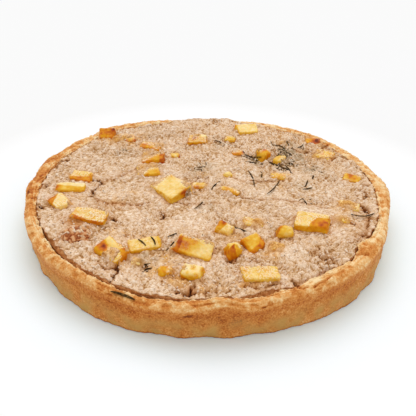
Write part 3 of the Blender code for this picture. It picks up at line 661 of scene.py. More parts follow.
# Outline of the part of each potato that the filling leaves bare; without a row it is all under film
BARE_OUTLINES = {
    1: ((97, 133), (98, 126), (117, 125), (117, 143), (103, 146)),
    2: ((122, 142), (127, 138), (135, 137), (140, 142), (137, 148), (127, 149)),
    3: ((138, 142), (146, 142), (152, 145), (161, 150), (157, 153), (149, 151), (140, 147)),
    4: ((141, 162), (150, 157), (158, 153), (164, 154), (167, 166), (160, 167), (150, 164)),
    5: ((170, 154), (177, 149), (181, 151), (184, 160), (180, 162), (171, 161)),
    6: ((137, 180), (144, 174), (149, 169), (158, 167), (162, 172), (158, 177), (146, 181)),
    7: ((185, 141), (190, 137), (199, 136), (203, 131), (208, 132), (206, 138), (208, 142), (200, 143),
        (195, 145), (189, 143)),
    8: ((224, 140), (227, 136), (232, 136), (239, 139.5), (237, 142), (226, 142)),
    9: ((231, 124), (236, 120), (253, 120), (263, 128), (257, 132), (241, 137), (236, 137), (231, 131)),
    10: ((231, 152), (238, 151), (245, 149), (247, 152), (241, 155), (235, 157), (231, 156)),
    11: ((252, 161), (258, 154), (265, 146), (274, 154), (273, 161), (269, 166), (257, 164)),
    12: ((270, 164), (274, 151), (283, 152), (282, 158), (275, 166)),
    13: ((304, 137), (313, 136), (321, 138), (320, 146), (311, 147), (305, 143)),
    14: ((317, 157), (322, 151), (332, 150), (337, 155), (331, 157), (324, 156)),
    15: ((222, 175), (225, 169), (230, 170), (234, 175), (227, 179)),
    16: ((192, 184), (199, 181), (205, 183), (203, 189), (196, 190)),
    17: ((156, 187), (171, 173), (198, 199), (167, 211), (162, 204)),
    18: ((221, 186), (225, 185), (232, 188), (241, 193), (239, 197), (231, 195), (223, 191)),
    19: ((270, 178), (276, 173), (288, 174), (283, 179), (277, 180)),
    20: ((339, 176), (348, 171), (353, 171), (360, 177), (366, 181), (363, 185), (354, 183), (348, 180)),
    22: ((69, 181), (72, 168), (84, 169), (91, 175), (97, 187), (91, 188), (88, 183), (70, 183)),
    23: ((55, 187), (59, 181), (88, 183), (88, 194), (75, 196), (60, 194)),
    24: ((43, 193), (47, 187), (57, 188), (63, 192), (69, 198), (66, 207), (56, 206), (48, 202)),
    25: ((71, 213), (76, 204), (88, 206), (101, 211), (109, 216), (106, 228), (96, 227), (86, 222),
         (75, 216)),
    26: ((93, 247), (97, 236), (101, 233), (113, 238), (125, 249), (131, 258), (124, 267), (119, 262),
         (121, 252), (113, 245), (108, 250), (101, 253)),
    27: ((126, 240), (134, 238), (150, 236), (158, 234), (163, 237), (168, 245), (164, 253), (150, 256),
         (135, 258), (128, 253)),
    28: ((171, 252), (180, 237), (184, 235), (194, 238), (206, 243), (219, 249), (216, 262), (205, 266),
         (190, 264), (175, 262)),
    29: ((213, 229), (219, 221), (224, 219.5), (228, 223), (231, 229), (238, 233), (236, 241),
         (222, 241), (213, 235)),
    30: ((222, 262), (226, 245), (230, 238), (234, 239), (246, 257), (244, 262), (230, 264)),
    31: ((239, 240), (244, 236), (256, 231), (259, 233), (267, 246), (264, 254), (256, 258), (249, 255)),
    32: ((243, 219), (248, 216), (252, 219), (249, 222), (245, 223)),
    33: ((273, 234), (279, 227), (285, 222), (289, 226), (299, 237), (295, 244), (280, 243), (274, 239)),
    35: ((293, 226), (297, 211), (305, 207), (319, 210), (332, 215), (333, 228), (328, 236), (318, 241),
         (310, 237), (303, 231)),
    37: ((242, 268), (247, 266), (258, 267), (270, 265), (281, 267), (283, 278), (279, 284), (265, 286),
         (245, 285)),
    38: ((176, 281), (182, 271), (187, 269), (191, 263), (199, 265), (205, 266), (207, 273), (199, 276),
         (198, 281), (188, 285), (179, 287)),
    39: ((156, 274), (161, 263), (170, 266), (166, 275), (160, 277)),
}
# Roast and outline of each cut face that is coloured otherwise, as the camera sees it: its value holds
# the face's roast, with painted shade on the darker faces and a painted highlight on the palest
CUT_FACES = {
    4: ((0.66, ((159, 154), (163, 154), (167, 166), (160, 166))),),
    7: ((0.08, ((200, 131), (209, 131), (209, 136), (201, 137))),),
    9: ((0.40, ((230, 131), (230, 123), (235, 120), (239, 131), (241, 138), (235, 138))),
        (0.28, ((240, 134), (256, 130), (264, 127), (257, 133), (241, 138)))),
    17: ((0.36, ((185, 191), (200, 199), (166, 214), (164, 206), (176, 201))),),
    22: ((0.58, ((68, 176), (80, 176), (88, 176), (91, 173), (99, 188), (88, 189), (87, 184),
                 (68, 184))),),
    23: ((0.38, ((55, 184), (62, 185), (89, 187), (89, 197), (55, 197))),),
    24: ((0.58, ((42, 193), (47, 186), (58, 187), (58, 195), (51, 205))),),
    25: ((0.58, ((70, 213), (80, 216), (90, 221), (104, 226), (106, 230), (80, 228), (70, 219))),),
    26: ((0.36, ((93, 249), (97, 235), (102, 233), (108, 244), (106, 256), (97, 257))),
         (0.08, ((102, 234), (113, 239), (119, 247), (113, 251), (107, 243))),
         (0.46, ((113, 239), (117, 237), (125, 245), (122, 247))),
         (0.62, ((119, 249), (126, 248), (132, 258), (124, 264)))),
    27: ((0.42, ((128, 252), (140, 253.5), (155, 250), (165, 247), (166, 254), (150, 258), (135, 260))),
         (0.38, ((155, 233), (163, 235), (170, 245), (164, 249), (158, 243)))),
    28: ((0.45, ((170, 252), (180, 236), (184, 235), (180, 247), (176, 254))),),
    29: ((0.48, ((212, 231), (219, 220), (224, 219), (227, 224), (221, 229), (214, 236))),),
    30: ((0.64, ((221, 264), (226, 248), (234, 243), (239, 264))),
         (0.42, ((235, 243), (249, 257), (246, 266), (239, 264))),
         (0.16, ((230, 238), (235, 238), (240, 246), (234, 244), (229, 249)))),
    31: ((0.60, ((260, 236), (269, 246), (265, 256), (256, 260), (248, 257), (251, 250), (259, 244))),),
    33: ((0.28, ((276, 236), (288, 234), (300, 236), (296, 245), (277, 244))),
         (0.58, ((272, 235), (279, 226), (285, 221), (286, 224), (280, 229), (275, 238)))),
    35: ((0.50, ((307, 230), (311, 222), (317, 218), (328, 218), (333, 220), (330, 238), (318, 243),
                 (307, 241))),),
    38: ((0.66, ((175, 281), (180, 275), (187, 279), (188, 287), (178, 289))),),
}
# Spots where it touched the pan, and paler spots, some of them painted highlights: x, y, reach, and
# how much more or less it is roasted there
SPOTS = {
    1: ((114, 128, 2.5, 0.4), (112, 132, 3, 0.2), (103, 141, 3, 0.15)),
    2: ((126, 141, 2, 0.2), (136, 140, 2, 0.2)),
    5: ((180, 157, 2.5, 0.35), (176, 156, 2, -0.2)),
    7: ((194, 138, 2, 0.4), (186, 141, 2, 0.4)),
    8: ((237, 140, 2, 0.3),),
    9: ((234, 126, 3, 0.15),),
    10: ((245, 151, 2.5, 0.5),),
    11: ((264.5, 148.5, 2.8, 0.35),),
    12: ((278, 153, 2, -0.15),),
    13: ((317, 140, 2.6, 0.55), (312, 141, 3, 0.2)),
    14: ((322, 153, 3, 0.2), (330, 154, 3, 0.15)),
    16: ((198, 186, 2.5, 0.3), (194, 182, 2, -0.2)),
    17: ((184, 193, 4, 0.5), (190, 198, 3, 0.3), (171, 176, 3.5, 0.25), (166, 207, 3.5, 0.4)),
    18: ((226, 189, 2, 0.1),),
    20: ((351, 175, 4, 0.3), (343, 177, 3, -0.2)),
    23: ((57, 187, 3, 0.3),),
    24: ((51, 192, 4, 0.12),),
    25: ((76, 212, 3, 0.2),),
    26: ((104, 246.5, 2.8, 0.28), (103, 246, 6.5, 0.36)),
    28: ((184, 243, 9, 0.46), (196, 240, 6, 0.3), (178, 257, 6, 0.3)),
    29: ((224, 222.5, 2.5, 0.35),),
    30: ((224, 261, 3, 0.25), (239, 259, 3, 0.2)),
    32: ((247, 220, 3, 0.2),),
    35: ((321, 223, 4.5, 0.28), (303, 216, 4, 0.15)),
    37: ((246, 269, 4, 0.2), (265, 269, 6, 0.12)),
    38: ((203, 270, 3, 0.3), (193, 267, 2.5, 0.4), (196, 275, 2.2, 0.35), (187, 272, 2, 0.35)),
}
SAME_PLACE = 1e-7  # metres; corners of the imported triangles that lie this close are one
FAR_OUTSIDE = -9.0  # pixels
VOXEL = 0.55 * MM  # size of the small cells
POTATO_DENTS = (0.7, 6.0)  # depth and length in mm
POTATO_GRAIN = (0.3, 1.6)
ROAST_MOST = 0.95
ROAST_DRIFT, ROAST_BREAK_UP = (0.14, 4.5), (0.12, 1.7)  # how far the roast strays, and within how many mm
VEIL_EDGE = (2.5, 0.8)  # pixels that the film's milky edge reaches in over a bare top, and how milky it is
EDGE_ROUNDS = 7  # how often the edge finder averages each point with its neighbours
EDGE_FULL = 0.42  # mm that this pulls in a point on a full edge


def merged_copy(node):
    """A node's mesh is loose triangles, so a copy is merged before anything is made from it."""
    joined = bmesh.new()
    joined.from_mesh(nodes[node].data)
    bmesh.ops.remove_doubles(joined, verts=joined.verts, dist=SAME_PLACE)
    mesh = bpy.data.meshes.new(node + "_copy")
    joined.to_mesh(mesh)
    joined.free()
    return mesh


def remeshed(mesh, voxel):
    """The mesh as small even cells, from Blender's voxel remesher."""
    holder = bpy.data.objects.new("remesh", mesh)
    bpy.context.scene.collection.objects.link(holder)
    cells = holder.modifiers.new("cells", "REMESH")
    cells.mode = "VOXEL"
    cells.voxel_size = voxel
    return applied(holder)


def averaged(values, edges, rounds):
    """Values at points, averaged with their neighbours' again and again."""
    count = np.maximum(np.bincount(edges.ravel(), minlength=len(values)), 1)[:, None]
    soft = values.copy()
    for _ in range(rounds):
        gathered = np.zeros_like(soft)
        np.add.at(gathered, edges[:, 0], soft[edges[:, 1]])
        np.add.at(gathered, edges[:, 1], soft[edges[:, 0]])
        soft = 0.5 * soft + 0.5 * gathered / count
    return soft


def normals_of(mesh):
    return read_rows(mesh.vertex_normals, "vector", 3).astype(float)


def set_points(mesh, points, shares_by_title):
    """Moves a mesh's points to places in mm, and stores shares from 0 to 1 on it."""
    mesh.vertices.foreach_set("co", in_box(points * MM).astype(np.float32).ravel())
    store(mesh, {title: np.clip(shares, 0.0, 1.0) for title, shares in shares_by_title.items()})
    mesh.update()
    mesh.shade_smooth()
    return mesh


def pixels_of(points):
    """Where the camera sees points in mm, as pixels of the photo: an array of (x, y)."""
    seen = (np.asarray(points) - np.array(CAMERA_PLACE) / MM) @ np.array(camera_turn)
    return PHOTO_SIDE / 2 + PHOTO_FOCAL * np.stack([seen[:, 0], -seen[:, 1]], axis=1) / -seen[:, 2:]


def inside_outline(x, y, outline):
    """How far points lie inside a closed outline, and below 0 outside it or without one."""
    if not outline:
        return np.full(x.shape, FAR_OUTSIDE)
    away, _, _ = distance_to_route(x, y, [*outline, outline[0]])
    crossed = np.zeros(x.shape, int)
    for (ax, ay), (bx, by) in zip(outline, [*outline[1:], outline[0]]):
        between = (ay > y) != (by > y)
        crossed += between & (x < ax + (bx - ax) * (y - ay) / (by - ay if by != ay else 1.0))
    return np.where(crossed % 2 == 1, away, -away)


def outline_of(number):
    """The bare part of a potato, as its outline in the photo; a potato without one is all under film."""
    return BARE_OUTLINES.get(number, ())


def roast_mesh(number):
    """The potato of this number in small cells, roughened, with its roast, painted shade and highlight
    included, and its milky veil stored on it.
    """
    top, front_face, left_face, right_face, at_edges, milky = ROASTS[number]
    seed = 3.7 * (number - 1)
    mesh = remeshed(merged_copy(potato_names[number - 1]), VOXEL)
    points, normal = vertex_array(mesh) / MM, normals_of(mesh)
    edges = read_rows(mesh.edges, "vertices", 2, np.int32)
    soft = averaged(points, edges, EDGE_ROUNDS)
    edge = np.clip(np.einsum("ij,ij->i", points - soft, normal) / EDGE_FULL, 0.0, 1.0)
    facing = averaged(normal, edges, 3)
    # Each point takes the roast and painted shade of the way its face turns: up, front, left, right or back
    looks = np.stack([facing[:, 2], -facing[:, 1], -facing[:, 0], facing[:, 0], facing[:, 1]], axis=1)
    weight = np.clip(looks, 0.0, 1.0) ** 2 + 1e-6
    roast_and_shade = weight @ np.array([top, front_face, left_face, right_face, top]) / weight.sum(1)
    veil = milky * smooth_step(0.35, 0.8, facing[:, 2])
    seen_x, seen_y = pixels_of(points).T
    veil = np.maximum(veil, VEIL_EDGE[1] * smooth_step(0.5, 0.9, facing[:, 2])
                      * smooth_step(VEIL_EDGE[0], 0.0, inside_outline(seen_x, seen_y, outline_of(number))))
    for value, outline in CUT_FACES.get(number, ()):
        share = smooth_step(-0.4, 0.4, inside_outline(seen_x, seen_y, outline))
        roast_and_shade += (value - roast_and_shade) * share
        veil *= 1.0 - share
    for spot_x, spot_y, reach, strength in SPOTS.get(number, ()):
        roast_and_shade += strength * round_spot(seen_x, seen_y, spot_x, spot_y, reach)
    wide = noise_at(points, ROAST_DRIFT[1], seed)
    roast_and_shade += at_edges * edge * (0.55 + 1.3 * noise_at(points, 3.0, seed + 5.0))
    roast_and_shade += ROAST_DRIFT[0] * wide + ROAST_BREAK_UP[0] * noise_at(points, ROAST_BREAK_UP[1], seed + 9.0)
    points += normal * (POTATO_DENTS[0] * noise_at(points, POTATO_DENTS[1], seed + 20.0)
                        + POTATO_GRAIN[0] * noise_at(points, POTATO_GRAIN[1], seed + 30.0) - 0.08)[:, None]
    veil *= np.clip(1.0 + 0.8 * wide, 0.0, 1.5)
    return set_points(mesh, points, {"roast_and_shade": np.minimum(roast_and_shade, ROAST_MOST), "veil": veil})


potato_names = sorted(name for name in nodes if name.startswith("potato_"))
roasted = [roast_mesh(number) for number in sorted(ROASTS)]
print("potato triangles:", sum(2 * len(mesh.polygons) for mesh in roasted))

# %% [markdown]
# Roast potato is starch and water, a little see-through, so light sinks a millimetre or two into
# it and comes out warm. The colours run from cream through yellow to a burnt red brown. The
# yellows are kept clean, because a little green in them soon looks olive. Where filling ran over
# a top and dried, a milky veil with small pale grains is left on it.

# %% Material: roast potato
BLOTCH, STARCH_GRAIN = 2.6, 0.9  # mm
SUNK_LIGHT = (1.8 * MM, 1.0 * MM, 0.4 * MM)  # how far red, green and blue light go into potato

potato_finish, tree, shader, where = new_material("roast potato", {
    "Roughness": 0.45, "Specular IOR Level": 0.15,
    "Subsurface Weight": 0.15, "Subsurface Radius": SUNK_LIGHT, "Subsurface Scale": 1.0})
roast_and_shade = add_node(tree, "ShaderNodeAttribute", attribute_name="roast_and_shade")
veiled = add_node(tree, "ShaderNodeAttribute", attribute_name="veil")
blotch = add_node(tree, "ShaderNodeTexNoise", {"Vector": where},
                  {"Scale": 1 / (BLOTCH * MM), "Detail": 3.0, "Roughness": 0.6})
uneven = add_node(tree, "ShaderNodeMath", {0: blotch.outputs["Fac"]}, {1: 0.40, 2: -0.20},
                  operation="MULTIPLY_ADD")
total = add_node(tree, "ShaderNodeMath", {0: roast_and_shade.outputs["Fac"], 1: uneven.outputs[0]}, operation="ADD")
tint = add_node(tree, "ShaderNodeValToRGB", {"Fac": total.outputs[0]}, stops=(
    (0.0, "#FAE2A8"), (0.16, "#F5D07A"), (0.32, "#EBB93A"), (0.48, "#E29F0C"), (0.62, "#D67C04"),
    (0.8, "#B04A08"), (1.0, "#5E1E06")))
skin = add_node(tree, "ShaderNodeTexNoise", {"Vector": where},
                {"Scale": 1 / (STARCH_GRAIN * MM), "Detail": 4.0, "Roughness": 0.65})
grains = add_node(tree, "ShaderNodeMapRange", {0: skin.outputs["Fac"]}, {1: 0.42, 2: 0.56, 3: 0.0, 4: 1.0})
milky = add_node(tree, "ShaderNodeMath", {0: veiled.outputs["Fac"], 1: grains.outputs[0]},
                 operation="MULTIPLY")
washed = add_node(tree, "ShaderNodeMix", {0: milky.outputs[0], 6: tint.outputs["Color"]},
                  {7: srgb("#FAE3BB")}, data_type="RGBA")
rough_skin = add_node(tree, "ShaderNodeBump", {"Height": skin.outputs["Fac"]},
                      {"Strength": 0.45, "Distance": 0.3 * MM})
tree.links.new(washed.outputs[2], shader.inputs["Base Color"])
tree.links.new(rough_skin.outputs["Normal"], shader.inputs["Normal"])

for name, mesh in zip(potato_names, roasted):
    keep(add_piece("roast_" + name, mesh, potato_finish), [name])
print("potatoes dressed:", len(potato_names))

# %% [markdown]
# ## The mushroom
#
# The one reddish lump at the left front looks like a browned mushroom: a fist of knobs with
# curds caught between them. It is made from its own solid, and the knobs are the absolute value
# of noise, which gives round tops and sharp valleys. The curds that stick to it are pale ridges
# along a second noise. Its colour follows the knobs: a painted highlight on their tops and painted
# shade in the valleys between them.

# %% The mushroom piece
KNOBS = (1.7, 3.2)  # height and length in mm
SMALL_KNOBS = (0.8, 1.4)
KNOB_CELL = 0.4 * MM
CURD_RIDGE, CURD_RISE = 0.05, 0.45  # how near to the noise's zero line a curd clings, and mm it rises
CURD_LINES, CURD_AREAS = 4.2, 7.0  # mm from one line of curds to the next, and from one area to the next
KNOB_GRAIN = 0.9  # mm

mushroom_mesh = remeshed(merged_copy("mushroom_piece"), KNOB_CELL)
points, normal = vertex_array(mushroom_mesh) / MM, normals_of(mushroom_mesh)
knobs = np.abs(noise_at(points, KNOBS[1], 7.0))
small_knobs = np.abs(noise_at(points, SMALL_KNOBS[1], 8.0))
cling = smooth_step(2.2 * CURD_RIDGE, CURD_RIDGE, np.abs(noise_at(points, CURD_LINES, 9.0)))
cling *= smooth_step(0.05, 0.2, noise_at(points, CURD_AREAS, 10.0) + 0.22)
lift = KNOBS[0] * (knobs - 0.35) + SMALL_KNOBS[0] * (small_knobs - 0.25) + CURD_RISE * cling
points += normal * lift[:, None]
set_points(mushroom_mesh, points, {"knob_shading": 1.6 * knobs + 0.5 * small_knobs, "cling": cling})

mushroom_finish, tree, shader, where = new_material("browned mushroom", {
    "Roughness": 0.6, "Specular IOR Level": 0.08,
    "Subsurface Weight": 0.1, "Subsurface Radius": (1.2 * MM, 0.6 * MM, 0.3 * MM), "Subsurface Scale": 1.0})
knob_shading = add_node(tree, "ShaderNodeAttribute", attribute_name="knob_shading")
curd_on_it = add_node(tree, "ShaderNodeAttribute", attribute_name="cling")
fine = add_node(tree, "ShaderNodeTexNoise", {"Vector": where},
                {"Scale": 1 / (KNOB_GRAIN * MM), "Detail": 3.0, "Roughness": 0.65})
# Painted highlight on the knobs' tops and painted shade in their valleys, broken up by a fine noise
shade = add_node(tree, "ShaderNodeMath", {0: fine.outputs["Fac"], 2: knob_shading.outputs["Fac"]}, {1: 0.7},
                 operation="MULTIPLY_ADD")
tint = add_node(tree, "ShaderNodeValToRGB", {"Fac": shade.outputs[0]}, stops=(
    (0.25, "#5E2810"), (0.5, "#934A24"), (0.75, "#BA7542"), (1.0, "#DCA878")))
mixed = add_node(tree, "ShaderNodeMix", {0: curd_on_it.outputs["Fac"], 6: tint.outputs["Color"]},
                 {7: srgb("#EDD6B8")}, data_type="RGBA")
tree.links.new(mixed.outputs[2], shader.inputs["Base Color"])
keep(add_piece("browned_mushroom", mushroom_mesh, mushroom_finish), ["mushroom_piece"])
print("mushroom triangles:", 2 * len(mushroom_mesh.polygons))

# %% [markdown]
# ## The filling
#
# The filling is curds set in the oven: a rough skin of small soft lumps pressed together, with
# cracks where it shrank, a gap here and there along the crust, and a film that climbs the potato
# pieces and covers some of them. It is one height over the plane at every point, so a fine grid
# carries it: a square sheet, bent into a disc without any pole, keeps all its cells alike.

# %% Where the top of the filling lies
FILL_HEIGHT, FILL_DOME = 21.9, 0.9  # mm
FILL_SWELLS = ((1.1, 26.0, 4.0), (0.7, 10.0, 9.0))  # height and length in mm, and a seed
EDGE_ROLL, EDGE_ROLL_START = 0.5, 7.0  # mm that the edge rolls down, within this many mm
GAP = 0.3  # mm to the bed below
SEAT = 0.1  # mm to the wall
CRUST_CLIMB = 0.85, 1.3  # share of the way up the crust that its edge climbs: everywhere, and at the right
RIGHT_ANGLE, RIGHT_WIDTH = 20.0, 35.0
CLIMB_START = 0.88  # share of the way out from which it climbs
# Angle and width in degrees, then mm that it shrank from the crust
SHRINKAGE = ((-139, 11, 2.8), (-119, 8, 0.9), (-104, 7, 1.0), (-72, 8, 2.6), (-29, 5, 1.6))
# The same, then mm that it ran out over the low rim at the back
SPILL = ((80, 22, 3.6), (106, 16, 2.4))


def filling_height(x, y):
    """The height of the top in mm: a low dome with the oven's swells, rolling down at its edge."""
    from_middle = np.hypot(x, y)
    dome = FILL_DOME * (1.0 - (from_middle / INNER_RADIUS) ** 2)
    places = list(zip(x.tolist(), y.tolist()))
    swells = sum(
        size * np.array([noise.noise(Vector((a / length, b / length, seed))) for a, b in places])
        for size, length, seed in FILL_SWELLS
    )
    roll = EDGE_ROLL * smooth_step(INNER_RADIUS - EDGE_ROLL_START, INNER_RADIUS + 1.0, from_middle)
    return FILL_HEIGHT + dome + swells - roll


def wall_inside(angle, level):
    _, _, inner_radius, inner_height = rim_at(angle)
    share = np.clip((level - WALL_BEND_HEIGHT) / (inner_height - 1.2 - WALL_BEND_HEIGHT), 0.0, 1.0)
    return WALL_INNER_RADIUS + (inner_radius - WALL_INNER_RADIUS) * share


def crust_climb(angle):
    """How many mm the filling's edge clings above its own level, up the crust."""
    clings = np.clip(1.0 - summed(SHRINKAGE, angle, 2) / 1.2, 0.0, 1.0)
    share = CRUST_CLIMB[0] + (CRUST_CLIMB[1] - CRUST_CLIMB[0]) * bell(angle, RIGHT_ANGLE, RIGHT_WIDTH)
    return share * clings * np.clip(rim_at(angle)[3] - 0.4 - (FILL_HEIGHT - EDGE_ROLL), 0.0, 3.0)


def filling_side(angle):
    """The filling's side as (radius, height), from its bed up to the edge of its top."""
    _, _, inner_radius, inner_height = rim_at(angle)
    away = summed(SHRINKAGE, angle, 2)
    edge_height = FILL_HEIGHT - EDGE_ROLL + crust_climb(angle)
    spread = smooth_step(0.9, 2.2, edge_height - inner_height)
    spilt = summed(SPILL, angle, 2)
    low = np.minimum(inner_height - 1.4, edge_height - 2.4)
    high = edge_height - 0.9
    inside_low = wall_inside(angle, low) - SEAT
    inside_high = wall_inside(angle, high) - SEAT
    inside_edge = inside_high - away
    level = np.ones_like(angle)

    def mixed(plain, over):
        return plain + (over - plain) * spread

    return np.array([
        ((FLOOR_RADIUS - 0.6) * level, (FLOOR_HEIGHT + GAP) * level),
        ((WALL_INNER_RADIUS - 1.4) * level, 7.7 * level),
        ((WALL_INNER_RADIUS - SEAT) * level, WALL_BEND_HEIGHT * level),
        (inside_low - 0.4 * away, low),
        (mixed(inside_high - 0.8 * away, inner_radius + 0.4), mixed(high - 0.5, inner_height + 0.6)),
        (mixed(inside_edge, inner_radius + 2.6) + spilt, mixed(high, inner_height + 0.8) - 0.45 * spilt),
        (mixed(inside_edge - 0.1, inner_radius + 2.4) + spilt, edge_height * level - 0.3 * spilt),
    ])


CELLS = 284
line = np.linspace(-1.0, 1.0, CELLS + 1)
u, v = (side.ravel() for side in np.meshgrid(line, line, indexing="xy"))
wide = np.abs(u) >= np.abs(v)
safe_u, safe_v = np.where(u == 0, 1.0, u), np.where(v == 0, 1.0, v)
disc_radius = np.where(wide, u, v)
quarter = 0.25 * math.pi
disc_turn = np.where(wide, quarter * v / safe_u, 2.0 * quarter - quarter * u / safe_v)
disc_x, disc_y = disc_radius * np.cos(disc_turn), disc_radius * np.sin(disc_turn)
disc_angle = np.degrees(np.arctan2(disc_y, disc_x))

EDGE_CHIPS = (1.5, 3.0)  # mm that the edge strays, and how long a chip is
EDGE_CIRCLE = 110.0  # mm from the middle, where the edge's noise is read
edge_reach = filling_side(disc_angle)[6, 0]
share_out = np.hypot(disc_x, disc_y)
chips = EDGE_CHIPS[0] * noise_at(flat_points(*around(EDGE_CIRCLE, disc_angle)), EDGE_CHIPS[1], 12.0)
top_radius = share_out * (edge_reach + chips * smooth_step(0.9, 1.0, share_out) - 0.2)
top_x, top_y = around(top_radius, disc_angle)
base_height = filling_height(top_x, top_y)
base_height += crust_climb(disc_angle) * smooth_step(CLIMB_START, 0.99, share_out)
cell_size = math.sqrt(math.pi) * INNER_RADIUS / CELLS
print("cells of the top:", CELLS * CELLS, "each about", round(cell_size, 2), "mm")

# %% [markdown]
# Cracks are wedges along given routes, frayed by noise. Ledges are steps along such a
# route, where one sheet of the skin slid under the next. Around each potato the filling clings
# and climbs, and where its film is thick enough it passes over the potato's top, from the back
# and the sides first. Elsewhere it stays below the potato's surface. All of that is read from
# the roasted pieces themselves, by dropping a ray on them at each point of the grid.

# %% Cracks, ledges and the film over the potatoes
# Width and depth in mm, then the points along it
CRACKS = (
    (2.4, 3.2, ((-77, 4), (-72.5, 5), (-69, 0), (-73, -8), (-71.5, -17))),
    (1.0, 0.9, ((-69, 1), (-59, 9), (-50, 20))),
    (1.0, 0.9, ((-71, -18), (-62, -23), (-48, -23.5), (-36, -20))),
    (1.8, 2.6, ((-44, -74), (-47, -82), (-46, -89), (-49, -97))),
    (1.4, 2.2, ((-58, -83), (-52, -86), (-47, -85))),
    (1.8, 2.5, ((44, -91), (46, -95), (46, -99))),
    (1.2, 2.0, ((47, -100), (51, -98), (58, -93), (63, -89))),
    (1.2, 1.6, ((19, -12), (27, -15), (35, -15))),
    (0.9, 1.0, ((40, -14), (58, -18), (74, -22))),
    (0.9, 1.0, ((-24, -20), (-14, -24), (-3, -22), (8, -20))),
    (1.0, 1.4, ((12, 12), (30, 8), (44, 6))),
    (1.0, 1.2, ((18, -98), (28, -99), (40, -94))),
    (1.2, 1.6, ((98, -30), (93, -45), (84, -60))),
    (1.4, 1.6, ((77, 58), (70, 52), (60, 60))),
    (3.4, 3.0, ((95, 44), (99, 46), (103, 47))),
    (2.0, 1.8, ((86, 40), (91, 42), (95, 44))),
    (2.2, 2.2, ((86, 58), (88, 62), (90, 67))),
    (3.2, 3.0, ((93, -15), (97, -20), (98, -27))),
    (2.0, 1.8, ((100, 0), (102, -5), (99, -9))),
    (2.2, 1.8, ((84, -38), (88, -41))),
    (2.6, 2.4, ((-56, -38), (-54, -42))),
    (2.4, 2.0, ((-103, -28), (-99, -30))),
    (2.0, 1.8, ((-101, 28), (-97, 31))),
    (1.8, 2.0, ((-106, 18), (-107, 24), (-105, 28))),
    (2.4, 2.0, ((-30, -31), (-26, -36), (-27, -40))),
    (1.5, 2.6, ((-15.5, -102.5), (-12, -104), (-8, -104.2), (-4.8, -102.5))),
    (1.2, 2.0, ((-8, -103.5), (-5.5, -98.5))),
)
# Height in mm, how far it takes to fade out, then a route whose left side is the high one
LEDGES = (
    (0.9, 9.0, ((-50, 22), (-60, 9), (-70, 2))),
    (1.0, 8.0, ((-72, -18), (-62, -23), (-48, -23), (-36, -20))),
    (2.6, 14.0, ((45, -94), (54, -90), (60, -84), (70, -81), (77, -78))),
    (1.2, 8.0, ((97, -30), (92, -48), (80, -62))),
    (0.8, 9.0, ((-60, -88), (-52, -85), (-46, -84))),
)
# Middle in mm, radius in mm and depth of each porous hollow
HOLLOWS = (
    (66, -74, 7.5, 1.5), (60, -68, 4.5, 1.0), (-8, -102, 5.5, 1.4), (-14, -101, 3.5, 1.0),
    (0, -104, 4.0, 1.4), (97, -21, 4.5, 2.4), (98, 46, 4.0, 2.2), (103, 6, 4.0, 2.2),
    (-45, -58, 3.0, 1.6), (-53, -47, 2.0, 1.2), (96, -34, 4.5, 1.8), (-104, -3, 4.0, 2.0),
    (-104, 24, 4.0, 1.8), (-97, 23, 2.0, 1.2), (25, -77, 4.0, 1.8), (1, -64, 4.0, 1.8),
    (-32, -85, 4.0, 1.4), (-20, 2, 2.5, 1.2), (14, -78, 4.0, 1.6), (84, 60, 3.5, 1.4),
    (-77, -44, 6.0, 0.3),
)
# The same and the height of each mound of large pale curds
MOUNDS = ((62, 73, 8.0, 1.8), (99, 33, 6.0, 2.0), (91, 38, 5.0, 1.2), (-63, 64, 4.0, 1.0), (54, 60, 5.0, 1.0))
CLIMB = 2.0  # mm that the filling climbs towards a potato
FILM, FILM_LEAST = 0.5, 0.15  # mm of film over a potato
BARE = 0.5  # mm that the filling stays below a bare potato's surface
FILM_FRAY = (1.8, 1.0)  # pixels of the photo that the film's edge strays, in small and in wide swells
FRAY_FULL, FRAY_LEAST = 10.0, 0.3  # half width in pixels of a bare part that frays fully, and the least share
CRACK_FRAY, LEDGE_FRAY = 1.6, 1.8  # mm that their routes stray
HIGH_UP = 60.0  # mm; rays drop from here
NO_PIECE = -9.0  # mm, the height noted where no ray meets a piece
DOWN = Vector((0, 0, -1))


def on_grid(values, rounds):
    """Values at the grid's points, averaged with their neighbours on it again and again."""
    soft = values.reshape(CELLS + 1, CELLS + 1).astype(float)
    for _ in range(rounds):
        edged = np.pad(soft, 1, mode="edge")
        beside = edged[:-2, 1:-1] + edged[2:, 1:-1] + edged[1:-1, :-2] + edged[1:-1, 2:]
        soft = beside / 8 + edged[1:-1, 1:-1] / 2
    return soft.ravel()


stretch = flat_points(top_x, top_y)
fray = noise_at(stretch, 2.2, 15.0)
fray_wide = noise_at(stretch, 6.0, 16.0)
crack_depth, crack_near = np.zeros_like(top_x), np.zeros_like(top_x)
for width, depth, route in CRACKS:
    away, along, _ = distance_to_route(top_x + CRACK_FRAY * fray, top_y + CRACK_FRAY * fray_wide, route)
    tapered = 0.3 + 0.7 * np.sin(math.pi * np.clip(along, 0.03, 0.97)) ** 0.6
    half = 0.5 * width * tapered * (1.0 + 1.2 * fray)
    wedge = np.clip(1.0 - away / np.maximum(half, 0.15), 0.0, 1.0) ** 0.7
    crack_depth = np.maximum(crack_depth, depth * wedge)
    crack_near = np.maximum(crack_near, fading(away, half + 1.0))
ledge_drop = np.zeros_like(top_x)
for size, fade, route in LEDGES:
    away, along, left_of = distance_to_route(top_x + LEDGE_FRAY * fray, top_y + LEDGE_FRAY * fray_wide, route)
    ends = np.sin(math.pi * np.clip(along, 0.02, 0.98)) ** 0.5
    low_side = smooth_step(0.3, -0.5, left_of) * fading(away, fade)
    ledge_drop = np.maximum(ledge_drop, size * ends * low_side)
pit_noise = np.abs(noise_at(stretch, 2.6, 18.0))
pit_depth, pit_near = np.zeros_like(top_x), np.zeros_like(top_x)
